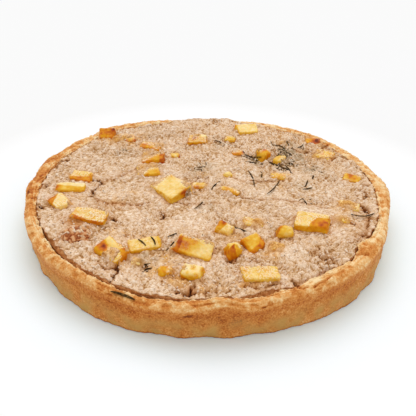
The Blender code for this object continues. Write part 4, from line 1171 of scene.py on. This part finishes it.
for hx, hy, reach, depth in HOLLOWS:
    near = round_spot(top_x, top_y, hx, hy, 0.7 * reach)
    pit_depth = np.maximum(pit_depth, depth * near * (0.25 + 1.1 * smooth_step(0.24, 0.05, pit_noise)))
    pit_near = np.maximum(pit_near, near)

mound = np.zeros_like(top_x)
for mx, my, reach, rise in MOUNDS:
    mound += rise * round_spot(top_x, top_y, mx, my, reach)

toppings = [*roasted, mushroom_mesh]
piece_tree = tree_of(toppings)
owners = np.concatenate([np.full(len(mesh.polygons), number) for number, mesh in enumerate(toppings, 1)])
hit_height = np.full(len(top_x), NO_PIECE)
owner = np.zeros(len(top_x), int)  # number of the potato below each point, or more where it is the mushroom
for index, (px, py) in enumerate(zip(top_x.tolist(), top_y.tolist())):
    hit, _, face, _ = piece_tree.ray_cast(Vector((px * MM, py * MM, HIGH_UP * MM)), DOWN)
    if hit is not None:
        hit_height[index] = hit.z / MM
        owner[index] = owners[face]
inside = hit_height > base_height - 1.0
soft_inside = on_grid(inside, 9)
inset = np.clip(2.0 * soft_inside - 1.0, 0.0, 1.0)
near_piece = np.where(inside, 1.0, np.clip(2.0 * soft_inside, 0.0, 1.0))
film_noise = noise_at(stretch, 5.0, 31.0) + 0.6 * noise_at(stretch, 2.0, 37.0)
seen_x, seen_y = pixels_of(np.stack([top_x, top_y, hit_height], axis=1)).T
into_bare = np.ones_like(top_x)  # pixels of the photo inside a piece's bare outline, and below 0 outside it
fray_share = np.ones_like(top_x)  # a small bare part frays less than a large one
for number in ROASTS:
    own = inside & (owner == number)
    into_bare[own] = inside_outline(seen_x[own], seen_y[own], outline_of(number))
    fray_share[own] = np.clip(into_bare[own].max(initial=0.0) / FRAY_FULL, FRAY_LEAST, 1.0)
film_fray = FILM_FRAY[0] * fray + FILM_FRAY[1] * film_noise
film = inside & (into_bare + fray_share * film_fray < 0.3 * fray_share)
bare = inside & ~film
near_bare = np.clip(2.0 * on_grid(bare, 9), 0.0, 1.0)
climbing = CLIMB * near_piece * (1.0 - 0.35 * near_bare) * np.clip(0.4 + 1.2 * film_noise, 0.0, 1.5)
climbed = base_height + np.where(inside, 0.0, climbing)
draped = on_grid(np.where(film, np.maximum(base_height, hit_height + FILM), climbed), 3)
top_height = np.where(film, np.maximum(draped, hit_height + FILM_LEAST), draped)
top_height = np.where(bare, np.minimum(draped, hit_height - BARE), top_height)
print("share of the top that is film on potato:", round(float(film.mean()), 3))

# %% Curds and crevices
CLOTS = (1.8, 9.0)  # height and length in mm
LUMPS = (2.1, 5.2)
CURDS = (1.5, 2.8)
SMALL_CURDS = (0.7, 1.4)

warp = noise_at(stretch, 3.5, 51.0)
warped = stretch + np.stack([warp, -warp, 0 * warp], axis=1)
clots = noise_at(stretch, CLOTS[1], 59.0)
lumps = np.abs(noise_at(warped, LUMPS[1], 55.0))
curds = np.abs(noise_at(warped, CURDS[1], 53.0))
small_curds = np.abs(noise_at(warped, SMALL_CURDS[1], 57.0))
rough = np.clip(1.0 + 0.9 * noise_at(stretch, 18.0, 63.0), 0.5, 1.6) + 0.5 * mound
rough += 0.3 * smooth_step(10.0, 70.0, top_y)  # the back is rougher
inner = 1.0 - smooth_step(0.975, 1.0, share_out)
bumps = rough * (
    LUMPS[0] * (lumps - 0.22) + CURDS[0] * (curds - 0.22) + SMALL_CURDS[0] * (small_curds - 0.2)
) + CLOTS[0] * 0.5 * clots
on_film = np.where(film, 0.65, 1.0) * (0.35 + 0.65 * inner)
rough_height = top_height + bumps * on_film + mound - crack_depth - ledge_drop - pit_depth
top_height = np.where(bare, top_height, rough_height)
# Painted shade in the crevices round the lumps and curds, and a painted highlight on the curds' tops and
# mounds
crevice_shade = 0.5 * smooth_step(0.14, 0.0, lumps) + 0.5 * smooth_step(0.16, 0.0, curds)
crevice_shade += 0.3 * smooth_step(0.2, 0.0, small_curds)
crest = smooth_step(0.3, 0.6, curds) * 0.6 + smooth_step(0.35, 0.6, small_curds) * 0.4 + 0.3 * mound
print("curds stand up to", round(float(bumps.max()), 2), "mm")

# %% [markdown]
# The side is a few rings below the edge, so that the grid closes into one body with the bed it
# lies on. Where the filling shrank from the crust, that side shows: porous and browner than the
# top. Browner stains follow the potatoes, whose fat seeped out, and there is a brown one by the
# mushroom, where its juice ran. The same map is darker round the cracks, pits, ledges and the
# potatoes' feet as painted shade. A few greyish smears lie where the herbs bled.

# %% Side, stains and the closed body
# Middle in mm, radius in mm and strength of each greyish smear that the herbs left
SMEARS = (
    (57, 50, 8, 0.9), (52, 36, 9, 0.85), (66, 44, 9, 0.6), (36, 38, 6, 0.6), (69, 27, 7, 0.5),
    (74, 26, 5, 0.4), (60, 62, 6, 0.6), (27, 46, 4, 0.4), (54, 54, 4, 0.8), (31, 37, 4, 0.6),
    (36, 12, 8, 0.2), (-3, 20, 9, 0.45), (-32, -78, 8, 0.55), (-61, 47, 6, 0.4), (-45, 73, 5, 0.3),
    (8, 62, 6, 0.5), (0, -24, 6, 0.35), (22, -58, 6, 0.35), (62, 4, 7, 0.35), (12, -48, 6, 0.3),
    (-5, 28, 6, 0.45), (-30, 79, 5, 0.25), (80, 20, 9, 0.25), (-20, -66, 5, 0.4), (38, -48, 5, 0.3),
)
# The same for golden stains, where fat or a potato just below shows through
GOLDEN = (
    (-47, -9, 2.6, 0.8), (-57, -23, 9, 0.35), (-4, 15, 4.5, 0.7), (46, 94, 3.5, 0.8), (-58, 62, 8, 0.55),
    (-78, 66, 7, 0.5), (84, 49, 8, 0.6), (74, 46, 5, 0.45), (36, 17, 3, 0.5), (48, 2, 4, 0.45),
    (88, -19, 7, 0.4), (84, -40, 7, 0.4), (-37, -71, 6, 0.45), (-28, -88, 6, 0.5), (-4, -58, 5, 0.35),
    (27, -42, 7, 0.4), (-48, -56, 5, 0.5), (-40, 52, 8, 0.4), (-24, 43, 5, 0.4), (-15, 3, 5, 0.4),
    (-84, -20, 7, 0.35), (14, 14, 5, 0.4), (22, -22, 6, 0.3), (15, -65, 6, 0.4), (90, 20, 5, 0.35),
    (55, 68, 4, 0.3), (-88, 30, 5, 0.2), (0, 64, 6, 0.3), (20, -98, 7, 0.6), (6, -101, 5, 0.5),
    (-13, -97, 6, 0.7), (-2, -102, 4, 0.5), (38, -66, 5, 0.6), (16, -57, 5, 0.5), (34, -76, 5, 0.4),
    (-45, -82, 5, 0.35), (69, -58, 6, 0.35), (-52, 73, 6, 0.5), (-70, 65, 6, 0.5), (83, -22, 7, 0.5),
    (86, 62, 6, 0.4), (-40, 27, 6, 0.35), (60, 78, 24, 0.22), (5, 92, 24, 0.1), (90, 40, 12, 0.2),
    (-35, -60, 7, 0.4), (-56, -53, 5, 0.4), (10, -52, 5, 0.4), (33, -72, 6, 0.4), (47, -52, 6, 0.4),
    (-22, -76, 6, 0.5), (-14, -92, 5, 0.3), (-34, -70, 5, 0.5), (-20, -84, 7, 0.4), (-36, 60, 5, 0.5),
)
# The same for brown stains, where the mushroom's juice ran
JUICE = ((-81, -41, 5, 1.0), (-76, -46, 5, 0.9), (-70, -49, 4, 0.6), (-84, -60, 4, 0.4))
# The same for the places where flecks of rosemary lie close
HERB_BEDS = (
    (55, 47, 3.5, 1.0), (53.5, 55, 3.0, 1.4), (34, 39.5, 2.5, 1.2), (57, 34, 3.5, 0.9),
    (51, 26, 3.0, 0.8), (33, 41, 5.0, 1.0), (28, 41, 3.0, 0.7), (60, 51, 4.0, 0.5), (-61, 47, 2.0, 0.6),
    (-45, 73, 3.0, 0.35), (-30, 79, 3.0, 0.3), (-5, 26, 4.0, 0.4), (-8, 12, 3.0, 0.3),
    (70, 26, 4.0, 0.35), (14, 62, 3.0, 0.4), (61, -15, 3.0, 0.4), (-30, -84, 4.0, 0.3),
    (36, -42, 4.0, 0.25), (42, -52, 2.5, 0.5), (65, 62, 3.5, 0.4), (88, -36, 3.0, 0.2),
)
HERBS_ANYWHERE = 0.012  # the same between those places
SIDE_RINGS = 12


def patches(table, seed):
    """Round patches, frayed by noise."""
    total = np.zeros_like(top_x)
    for sx, sy, reach, strength in table:
        total += strength * round_spot(top_x, top_y, sx, sy, reach)
    return np.clip(total * np.clip(0.75 + 1.2 * noise_at(stretch, 4.0, seed), 0.0, 1.6), 0.0, 1.0)


edge_steps = [(CELLS, row) for row in range(CELLS)] + [(column, CELLS) for column in range(CELLS, 0, -1)]
edge_steps += [(0, row) for row in range(CELLS, 0, -1)] + [(column, 0) for column in range(CELLS)]
edge_loop = np.array([row * (CELLS + 1) + column for column, row in edge_steps])
loop_angle = disc_angle[edge_loop]
side_corners = filling_side(loop_angle)
side_corners[6] = np.stack([top_radius[edge_loop], top_height[edge_loop]])
side_places = 6.0 - np.concatenate([np.linspace(0.35, 3.0, SIDE_RINGS - 4), [3.6, 4.3, 5.0, 6.0]])
shrunk = summed(SHRINKAGE, loop_angle, 2)
side_points = []
for at in side_places:
    lower = int(at)
    higher = min(lower + 1, 6)
    ring_radius, ring_height = side_corners[lower] * (lower + 1 - at) + side_corners[higher] * (at - lower)
    if at > 3.0:
        porous = noise_at(np.stack([*around(EDGE_CIRCLE, loop_angle), ring_height], axis=1), 2.0, 67.0)
        ring_radius += np.minimum(0.45 * shrunk, 1.0) * (1.4 * porous - 0.3)
        ring_radius += 0.2 * chips[edge_loop] * (at - 3.0) - 0.1
    side_points.append(np.stack([*around(ring_radius, loop_angle), ring_height], axis=1))

row_index, column_index = np.meshgrid(np.arange(CELLS), np.arange(CELLS), indexing="ij")
corner = (row_index * (CELLS + 1) + column_index).ravel()
filling_faces = np.stack([corner, corner + 1, corner + CELLS + 2, corner + CELLS + 1], axis=1).tolist()
top_count = (CELLS + 1) ** 2
loop_count = len(edge_loop)
upper_ring = edge_loop
for level in range(SIDE_RINGS):
    lower_ring = top_count + level * loop_count + np.arange(loop_count)
    filling_faces += np.stack(
        [lower_ring, np.roll(lower_ring, -1), np.roll(upper_ring, -1), upper_ring], axis=1).tolist()
    upper_ring = lower_ring
bed_middle = top_count + SIDE_RINGS * loop_count
filling_faces += fan(upper_ring[::-1].tolist(), bed_middle)
filling_points = np.concatenate([
    np.stack([top_x, top_y, top_height], axis=1), *side_points, [(0.0, 0.0, FLOOR_HEIGHT + GAP)]])

edge_stain = smooth_step(0.97, 1.0, share_out)
edge_stain *= np.clip(0.1 + summed(SHRINKAGE, disc_angle, 2) / 4.0, 0.1, 0.7)
seep_and_shade = np.where(film, 0.15, near_piece * (1.0 - inset)) * np.clip(0.5 + fray_wide, 0.0, 1.0)
# Browner where fat and juice ran and where the side shrank, and painted shade in and round the cracks, pits,
# ledges and the potatoes' feet
stain_and_shade = 0.5 * crack_near + 0.6 * seep_and_shade + 0.5 * edge_stain + 0.45 * pit_near
stain_and_shade += 0.25 * smooth_step(0.2, 1.0, ledge_drop)
stain_and_shade += patches(JUICE, 75.0)
golden = 1.15 * patches(GOLDEN, 77.0)
golden += np.where(film, 0.6, 0.5 * near_piece) * np.clip(0.8 + 1.2 * film_noise, 0.1, 1.6)
# Painted shade in the cracks and pits, darker where they are deeper; it also keeps the loose curds out of
# them
deep = crack_depth / 1.8 + pit_depth / 3.8
loose = np.where(inside, 0.0, 1.0) * (1.0 - np.clip(deep, 0.0, 1.0)) * inner
herby = sum(strength * round_spot(top_x, top_y, hx, hy, reach) for hx, hy, reach, strength in HERB_BEDS)
herby += HERBS_ANYWHERE


def padded(values, rest):
    """Numbers for the top's points, and one number for all the points below its edge."""
    return np.clip(np.concatenate([values, np.full(len(filling_points) - top_count, rest)]), 0.0, 1.0)


filling_mesh = mesh_of("filling_body", filling_points, filling_faces, {
    "crevice_shade": padded(crevice_shade * rough, 0.4), "crest": padded(crest, 0.2), "deep": padded(deep, 0.05),
    "stain_and_shade": padded(stain_and_shade, 0.55), "smear": padded(patches(SMEARS, 73.0), 0.0),
    "golden": padded(golden, 0.6), "curdy": padded(loose, 0.0), "herby": padded(herby * (1.0 - inside), 0.0),
})
print("filling triangles:", 2 * len(filling_faces) - loop_count)

# %% [markdown]
# Set curds are matte, pale and a little pinkish beige. What the eye reads as their texture is
# the dark line round each lump, so the stored crevice map drives the colour as painted shade, with
# painted shade in the cracks and pits and a painted highlight on the curds' tops, and a finer noise
# in the shader splits the lumps again, below the size of the mesh's own cells.

# %% Material: set filling
GRAIN_SIZE = 1.3  # mm, the smallest curds that the eye still parts
TONE_SIZE = 11.0  # mm from one paler patch to the next
# Painted shade in the crevices, cracks and pits; the crests' negative share is a painted highlight
PAINTED_SHADING = (("crevice_shade", 0.42), ("crest", -0.22), ("deep", 0.6))  # how much darker each map makes the curds
TINTED = (("stain_and_shade", "#D3A56C"), ("golden", "#F4D48C"), ("smear", "#B9B5A6"))  # what it is multiplied by

filling_finish, tree, shader, where = new_material("set filling", {
    "Roughness": 0.7, "Specular IOR Level": 0.15})
maps = {title: add_node(tree, "ShaderNodeAttribute", attribute_name=title) for title, _ in PAINTED_SHADING + TINTED}
grain_noise = add_node(tree, "ShaderNodeTexNoise", {"Vector": where},
                       {"Scale": 1 / (GRAIN_SIZE * MM), "Detail": 3.0, "Roughness": 0.65, "Distortion": 1.0})
tone_noise = add_node(tree, "ShaderNodeTexNoise", {"Vector": where},
                      {"Scale": 1 / (TONE_SIZE * MM), "Detail": 4.0, "Roughness": 0.6})
grainy = add_node(tree, "ShaderNodeMath", {0: grain_noise.outputs["Fac"]}, {1: 1.3, 2: -0.6},
                  operation="MULTIPLY_ADD")
patchy = add_node(tree, "ShaderNodeMath", {0: tone_noise.outputs["Fac"], 2: grainy.outputs[0]}, {1: 0.45},
                  operation="MULTIPLY_ADD")
shade = patchy.outputs[0]
for title, share in PAINTED_SHADING:
    shade = add_node(tree, "ShaderNodeMath", {0: maps[title].outputs["Fac"], 2: shade}, {1: share},
                     operation="MULTIPLY_ADD").outputs[0]
tint = add_node(tree, "ShaderNodeValToRGB", {"Fac": shade}, stops=(
    (0.0, "#FDEDD8"), (0.22, "#F0D4B8"), (0.45, "#D9B38A"), (0.68, "#B38048"),
    (0.86, "#7E4C22"), (1.0, "#4A270E")))
colour = tint.outputs["Color"]
for title, code in TINTED:
    colour = add_node(tree, "ShaderNodeMix", {0: maps[title].outputs["Fac"], 6: colour}, {7: srgb(code)},
                      data_type="RGBA", blend_type="MULTIPLY").outputs[2]
skin = add_node(tree, "ShaderNodeBump", {"Height": grain_noise.outputs["Fac"]},
                {"Strength": 0.4, "Distance": 0.4 * MM})
tree.links.new(colour, shader.inputs["Base Color"])
tree.links.new(skin.outputs["Normal"], shader.inputs["Normal"])

filling = keep(add_piece("set_filling", filling_mesh, filling_finish), ["filling"])
print("filling dressed:", filling.name)

# %% [markdown]
# ## Rosemary
#
# Whole rosemary needles and chopped ones were baked in, so they are dry, thin, dark and a little
# bent. Each needle's route is laid on whatever it lies on, by dropping rays, and Geometry Nodes
# turn all the routes into spindles with one small profile. The long ones are the packed
# model's. The short bits are scattered in the bunches where the photo shows them.

# %% Routes of the needles
# Start and end in mm over the plane, and how far the middle bows sideways
NEEDLES = (
    (-47, -103.5, -34.5, -108.3, 0.6), (86, -30, 101, -29, -3.0), (-31, -63, -28, -69, 0.6),
    (-22, -60, -17, -54, 0.0), (-33, -88, -28, -85, 1.0), (18, -48, 23, -51, 0.0), (8, 6, 2, -5, -0.8),
    (27, 23, 30, 1, 1.0), (47, 8, 37, -12, 0.8), (53, 32, 56, 19, 0.6), (26, 36, 33, 34, 0.4),
    (46, 64, 55, 53, 3.5), (58, 70, 59, 62, 0.0), (65, 60, 70, 64, -1.0), (71, 18, 69, 12, 0.0),
    (66, 11, 63, 3, 0.3), (68, 2, 61, 0, 0.3), (59, -12, 61, -21, 0.4), (36, 21, 35, 12, 0.3),
    (-9, 24, -2, 26, 0.3), (-8, -29, -3, -20, -0.5), (4, 70, 9, 63, 0.3),
    (-38, -64, -33, -70, 0.4), (28, 41.5, 37, 37.5, -0.4), (40, 36.5, 50, 29, -0.6), (46, 31, 56, 22.5, 0.8),
    (48, 47, 56, 40, 0.8), (25, 44, 31, 39, 0.3), (-18, -64, -22, -71, 0.3), (12, -47, 19, -49, 0.6),
)
# Bunches of chopped needles: middle in mm, radius in mm and how many
BUNCHES = (
    (55, 47, 5, 16), (57, 33, 4, 12), (50, 25, 4, 8), (33, 40, 6, 18), (28, 42, 4, 6), (61, 52, 6, 6),
    (-61, 47, 3, 4), (-5, 25, 6, 6), (14, 62, 5, 4), (61, -15, 4, 3), (42, -52, 3, 4), (66, 60, 5, 4),
    (-30, -83, 5, 4), (70, 26, 5, 4), (37, 38, 5, 10), (46, 31, 4, 8), (47, 65, 4, 6), (54, 56, 4, 6),
    (34, 39.5, 4, 8), (54, 54, 3, 9), (56, 37, 3, 4),
)
NEEDLE_RADIUS = 0.55  # mm
RIM_NEEDLE_RADIUS = 0.95  # of the first in the table, a stout one that lies on the rim
CHOPPED_RADIUS = 0.3
CHOPPED_LENGTH, CHOPPED_BOW = (1.2, 4.0), 0.3
CHOPPED_BELOW = 25.2  # mm; the potatoes that stand higher are clean
NEEDLE_POINTS, NEEDLE_SIDES = 9, 6
NEEDLE_SECTION = (1.0, 0.6, 1.0)  # a needle is flatter than round
SUNK = 0.45  # mm that a needle may lie sunk in a curd

surfaces = tree_of([crust_mesh, filling_mesh, *toppings])
chance = np.random.default_rng(17)


def level_at(x, y):
    """Height in metres of what lies at a place in mm."""
    return surfaces.ray_cast(Vector((x, y, HIGH_UP)) * MM, DOWN)[0].z


def laid_route(start_x, start_y, end_x, end_y, bow, radius):
    """Points of a needle from one place to another, each just above what it lies on, in mm."""
    along = np.array([end_x - start_x, end_y - start_y], float)
    across = np.array([-along[1], along[0]]) / np.hypot(*along)
    shares = np.linspace(0.0, 1.0, NEEDLE_POINTS)
    start = np.array([start_x, start_y])
    plan = [start + along * share + across * bow * math.sin(math.pi * share) for share in shares]
    heights = [level_at(*place) / MM for place in plan]
    stiff = np.polyval(np.polyfit(shares, heights, 1), shares)
    lifted = stiff + np.clip((heights - stiff).max() - SUNK, 0.0, 1.0) + 0.5 * radius
    return [(*place, level) for place, level in zip(plan, lifted)]


needle_points, needle_edges, girths = [], [], []
routes = [(NEEDLES[0], RIM_NEEDLE_RADIUS)] + [(row, NEEDLE_RADIUS) for row in NEEDLES[1:]]
for middle_x, middle_y, reach, count in BUNCHES:
    for _ in range(count):
        turn, away = chance.uniform(0, math.tau), reach * math.sqrt(chance.uniform())
        heading, length = chance.uniform(0, math.pi), chance.uniform(*CHOPPED_LENGTH)
        x0, y0 = middle_x + away * math.cos(turn), middle_y + away * math.sin(turn)
        x1, y1 = x0 + length * math.cos(heading), y0 + length * math.sin(heading)
        bow = chance.uniform(-CHOPPED_BOW, CHOPPED_BOW)
        if max(level_at(x0, y0), level_at(x1, y1)) < CHOPPED_BELOW * MM:
            routes.append(((x0, y0, x1, y1, bow), CHOPPED_RADIUS))
for row, size in routes:
    first = len(needle_points)
    needle_points += laid_route(*row, size)
    needle_edges += [(first + step, first + step + 1) for step in range(NEEDLE_POINTS - 1)]
    for step in range(NEEDLE_POINTS):
        girths.append(size * (0.3 + 0.7 * math.sin(math.pi * step / (NEEDLE_POINTS - 1)) ** 0.5))
print("needles:", len(NEEDLES), "long and", len(routes) - len(NEEDLES), "chopped")

# %% Needles grown by Geometry Nodes
SOCKET_KINDS = {float: "NodeSocketFloat", int: "NodeSocketInt", tuple: "NodeSocketVector"}
LEAF_TONE = 2.5  # mm


def grown(name, seed, sizes, build, finish):
    """What a Geometry Nodes tree with these named sizes makes of a seed mesh, as a plain mesh."""
    group = bpy.data.node_groups.new(name, "GeometryNodeTree")
    group.interface.new_socket("Geometry", in_out="INPUT", socket_type="NodeSocketGeometry")
    group.interface.new_socket("Geometry", in_out="OUTPUT", socket_type="NodeSocketGeometry")
    values = {}
    for title, size in sizes.items():
        socket = group.interface.new_socket(title, in_out="INPUT", socket_type=SOCKET_KINDS[type(size)])
        values[socket.identifier] = size
    entry, way_out = group.nodes.new("NodeGroupInput"), group.nodes.new("NodeGroupOutput")
    smooth = add_node(group, "GeometryNodeSetShadeSmooth", {"Geometry": build(group, entry.outputs)})
    real = add_node(group, "GeometryNodeRealizeInstances", {"Geometry": smooth.outputs[0]})
    dressed = add_node(group, "GeometryNodeSetMaterial", {"Geometry": real.outputs[0]}, {"Material": finish})
    group.links.new(dressed.outputs[0], way_out.inputs[0])
    holder = add_piece(name + "_seed", seed)
    grow = holder.modifiers.new("grow", "NODES")
    grow.node_group = group
    for identifier, value in values.items():
        grow[identifier] = value
    return applied(holder)


def held_inside(mesh):
    """The grown mesh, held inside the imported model's box."""
    mesh.vertices.foreach_set("co", in_box(vertex_array(mesh)).astype(np.float32).ravel())
    mesh.update()
    return mesh


def spindles(group, given):
    """Routes, turned into flat spindles that are as thick as the girth stored along them."""
    girth = add_node(group, "GeometryNodeInputNamedAttribute", values={"Name": "girth"}, data_type="FLOAT")
    lines = add_node(group, "GeometryNodeMeshToCurve", {"Mesh": given["Geometry"]})
    bent = add_node(group, "GeometryNodeCurveSplineType", {"Curve": lines.outputs[0]},
                    spline_type="CATMULL_ROM")
    ring = add_node(group, "GeometryNodeCurvePrimitiveCircle", {
        "Resolution": given["Sides"], "Radius": given["Unit of girth"]})
    section = add_node(group, "GeometryNodeTransform", {
        "Geometry": ring.outputs[0], "Scale": given["Section"]})
    return add_node(group, "GeometryNodeCurveToMesh", {
        "Curve": bent.outputs[0], "Profile Curve": section.outputs[0], "Scale": girth.outputs["Attribute"]},
        {"Fill Caps": True}).outputs[0]


# Dried rosemary: dull brown leaves that hardly glint, each with lighter and darker stretches
herb_finish, tree, shader, where = new_material("dried rosemary", {
    "Roughness": 0.8, "Specular IOR Level": 0.05})
leafy = add_node(tree, "ShaderNodeTexNoise", {"Vector": where},
                 {"Scale": 1 / (LEAF_TONE * MM), "Detail": 3.0, "Roughness": 0.6})
tint = add_node(tree, "ShaderNodeValToRGB", {"Fac": leafy.outputs["Fac"]}, stops=(
    (0.35, "#2A1C0C"), (0.5, "#4A3418"), (0.6, "#6C4E28"), (0.75, "#8C6C3E")))
tree.links.new(tint.outputs["Color"], shader.inputs["Base Color"])

needle_seed = bpy.data.meshes.new("needle_routes")
needle_seed.from_pydata((np.array(needle_points) * MM).tolist(), needle_edges, [])
store(needle_seed, {"girth": girths})
needle_mesh = held_inside(grown("needle_spindles", needle_seed, {
    "Unit of girth": MM, "Sides": NEEDLE_SIDES, "Section": NEEDLE_SECTION}, spindles, herb_finish))
keep(add_piece("rosemary_needles", needle_mesh))
print("needle triangles:", sum(len(face.vertices) - 2 for face in needle_mesh.polygons))

# %% [markdown]
# ## Loose curds, herb flecks and crumbs
#
# Between the set curds lie loose ones, finer than rice, and each catches its own light. On the
# rim lie flakes that came off the shortcrust, and by the rosemary lie dark flecks of it. Each
# kind is one small lump that Geometry Nodes scatter where a stored map allows it, turn at
# random and squash at random, and then join into one plain mesh at true size.

# %% Scatter the small things
CURD_TONE = 1.8  # mm
TILT = 0.5  # radians that a lump leans at most
TURN_SEED, SIZE_SEED = 3, 5


def lumps_by(map_name):
    """A tree that scatters squashed lumps over a mesh, as thickly as a map stored on it says."""
    def build(group, given):
        allowed = add_node(group, "GeometryNodeInputNamedAttribute", values={"Name": map_name},
                           data_type="FLOAT")
        spots = add_node(group, "GeometryNodeDistributePointsOnFaces", {
            "Mesh": given["Geometry"], "Density Factor": allowed.outputs["Attribute"],
            "Distance Min": given["Least gap"], "Density Max": given["Lumps to a square metre"]},
            distribute_method="POISSON")
        lump = add_node(group, "GeometryNodeMeshIcoSphere", {"Radius": given["Lump radius"]},
                        {"Subdivisions": 1})
        turn = add_node(group, "FunctionNodeRandomValue",
                        values={0: (-TILT, -TILT, 0.0), 1: (TILT, TILT, math.tau), 8: TURN_SEED},
                        data_type="FLOAT_VECTOR")
        turned = add_node(group, "FunctionNodeRotateEuler", {
            0: spots.outputs["Rotation"], 1: turn.outputs[0]}, space="LOCAL")
        size = add_node(group, "FunctionNodeRandomValue", {0: given["Smallest"], 1: given["Largest"]},
                        {8: SIZE_SEED}, data_type="FLOAT_VECTOR")
        return add_node(group, "GeometryNodeInstanceOnPoints", {
            "Points": spots.outputs["Points"], "Instance": lump.outputs[0],
            "Rotation": turned.outputs[0], "Scale": size.outputs[0]}).outputs[0]
    return build


# Loose curd: dull pale crumbs, some whiter and some browner
curd_finish, tree, shader, where = new_material("loose curd", {
    "Roughness": 0.7, "Specular IOR Level": 0.15})
tone = add_node(tree, "ShaderNodeTexNoise", {"Vector": where},
                {"Scale": 1 / (CURD_TONE * MM), "Detail": 3.0, "Roughness": 0.7})
tint = add_node(tree, "ShaderNodeValToRGB", {"Fac": tone.outputs["Fac"]}, stops=(
    (0.25, "#C99E76"), (0.42, "#E2C2A2"), (0.6, "#F3DDC6"), (0.75, "#FBECD8")))
tree.links.new(tint.outputs["Color"], shader.inputs["Base Color"])

# What each kind lies on, its map, how many to a mm2, least mm from one to the next, radius in mm,
# its least and its most stretch along each side, and its finish
SMALL_THINGS = {
    "loose_curds": (filling_mesh, "curdy", 0.10, 1.1, 0.8, (0.6, 0.5, 0.3), (1.6, 1.0, 0.6), curd_finish),
    "herb_flecks": (filling_mesh, "herby", 0.5, 0.5, 0.42, (0.5, 0.35, 0.3), (1.6, 0.8, 0.6), herb_finish),
    "crust_flakes": (crust_mesh, "flaky", 0.35, 0.8, 0.6, (0.7, 0.6, 0.2), (1.8, 1.2, 0.5), crust_finish),
}
for name, (carrier, map_name, density, apart, radius, least, most, finish) in SMALL_THINGS.items():
    sizes = {"Lumps to a square metre": density / MM ** 2, "Least gap": apart * MM,
             "Lump radius": radius * MM, "Smallest": least, "Largest": most}
    mesh = held_inside(grown(name + "_scatter", carrier.copy(), sizes, lumps_by(map_name), finish))
    keep(add_piece(name, mesh))
    print(name, "triangles:", len(mesh.polygons))
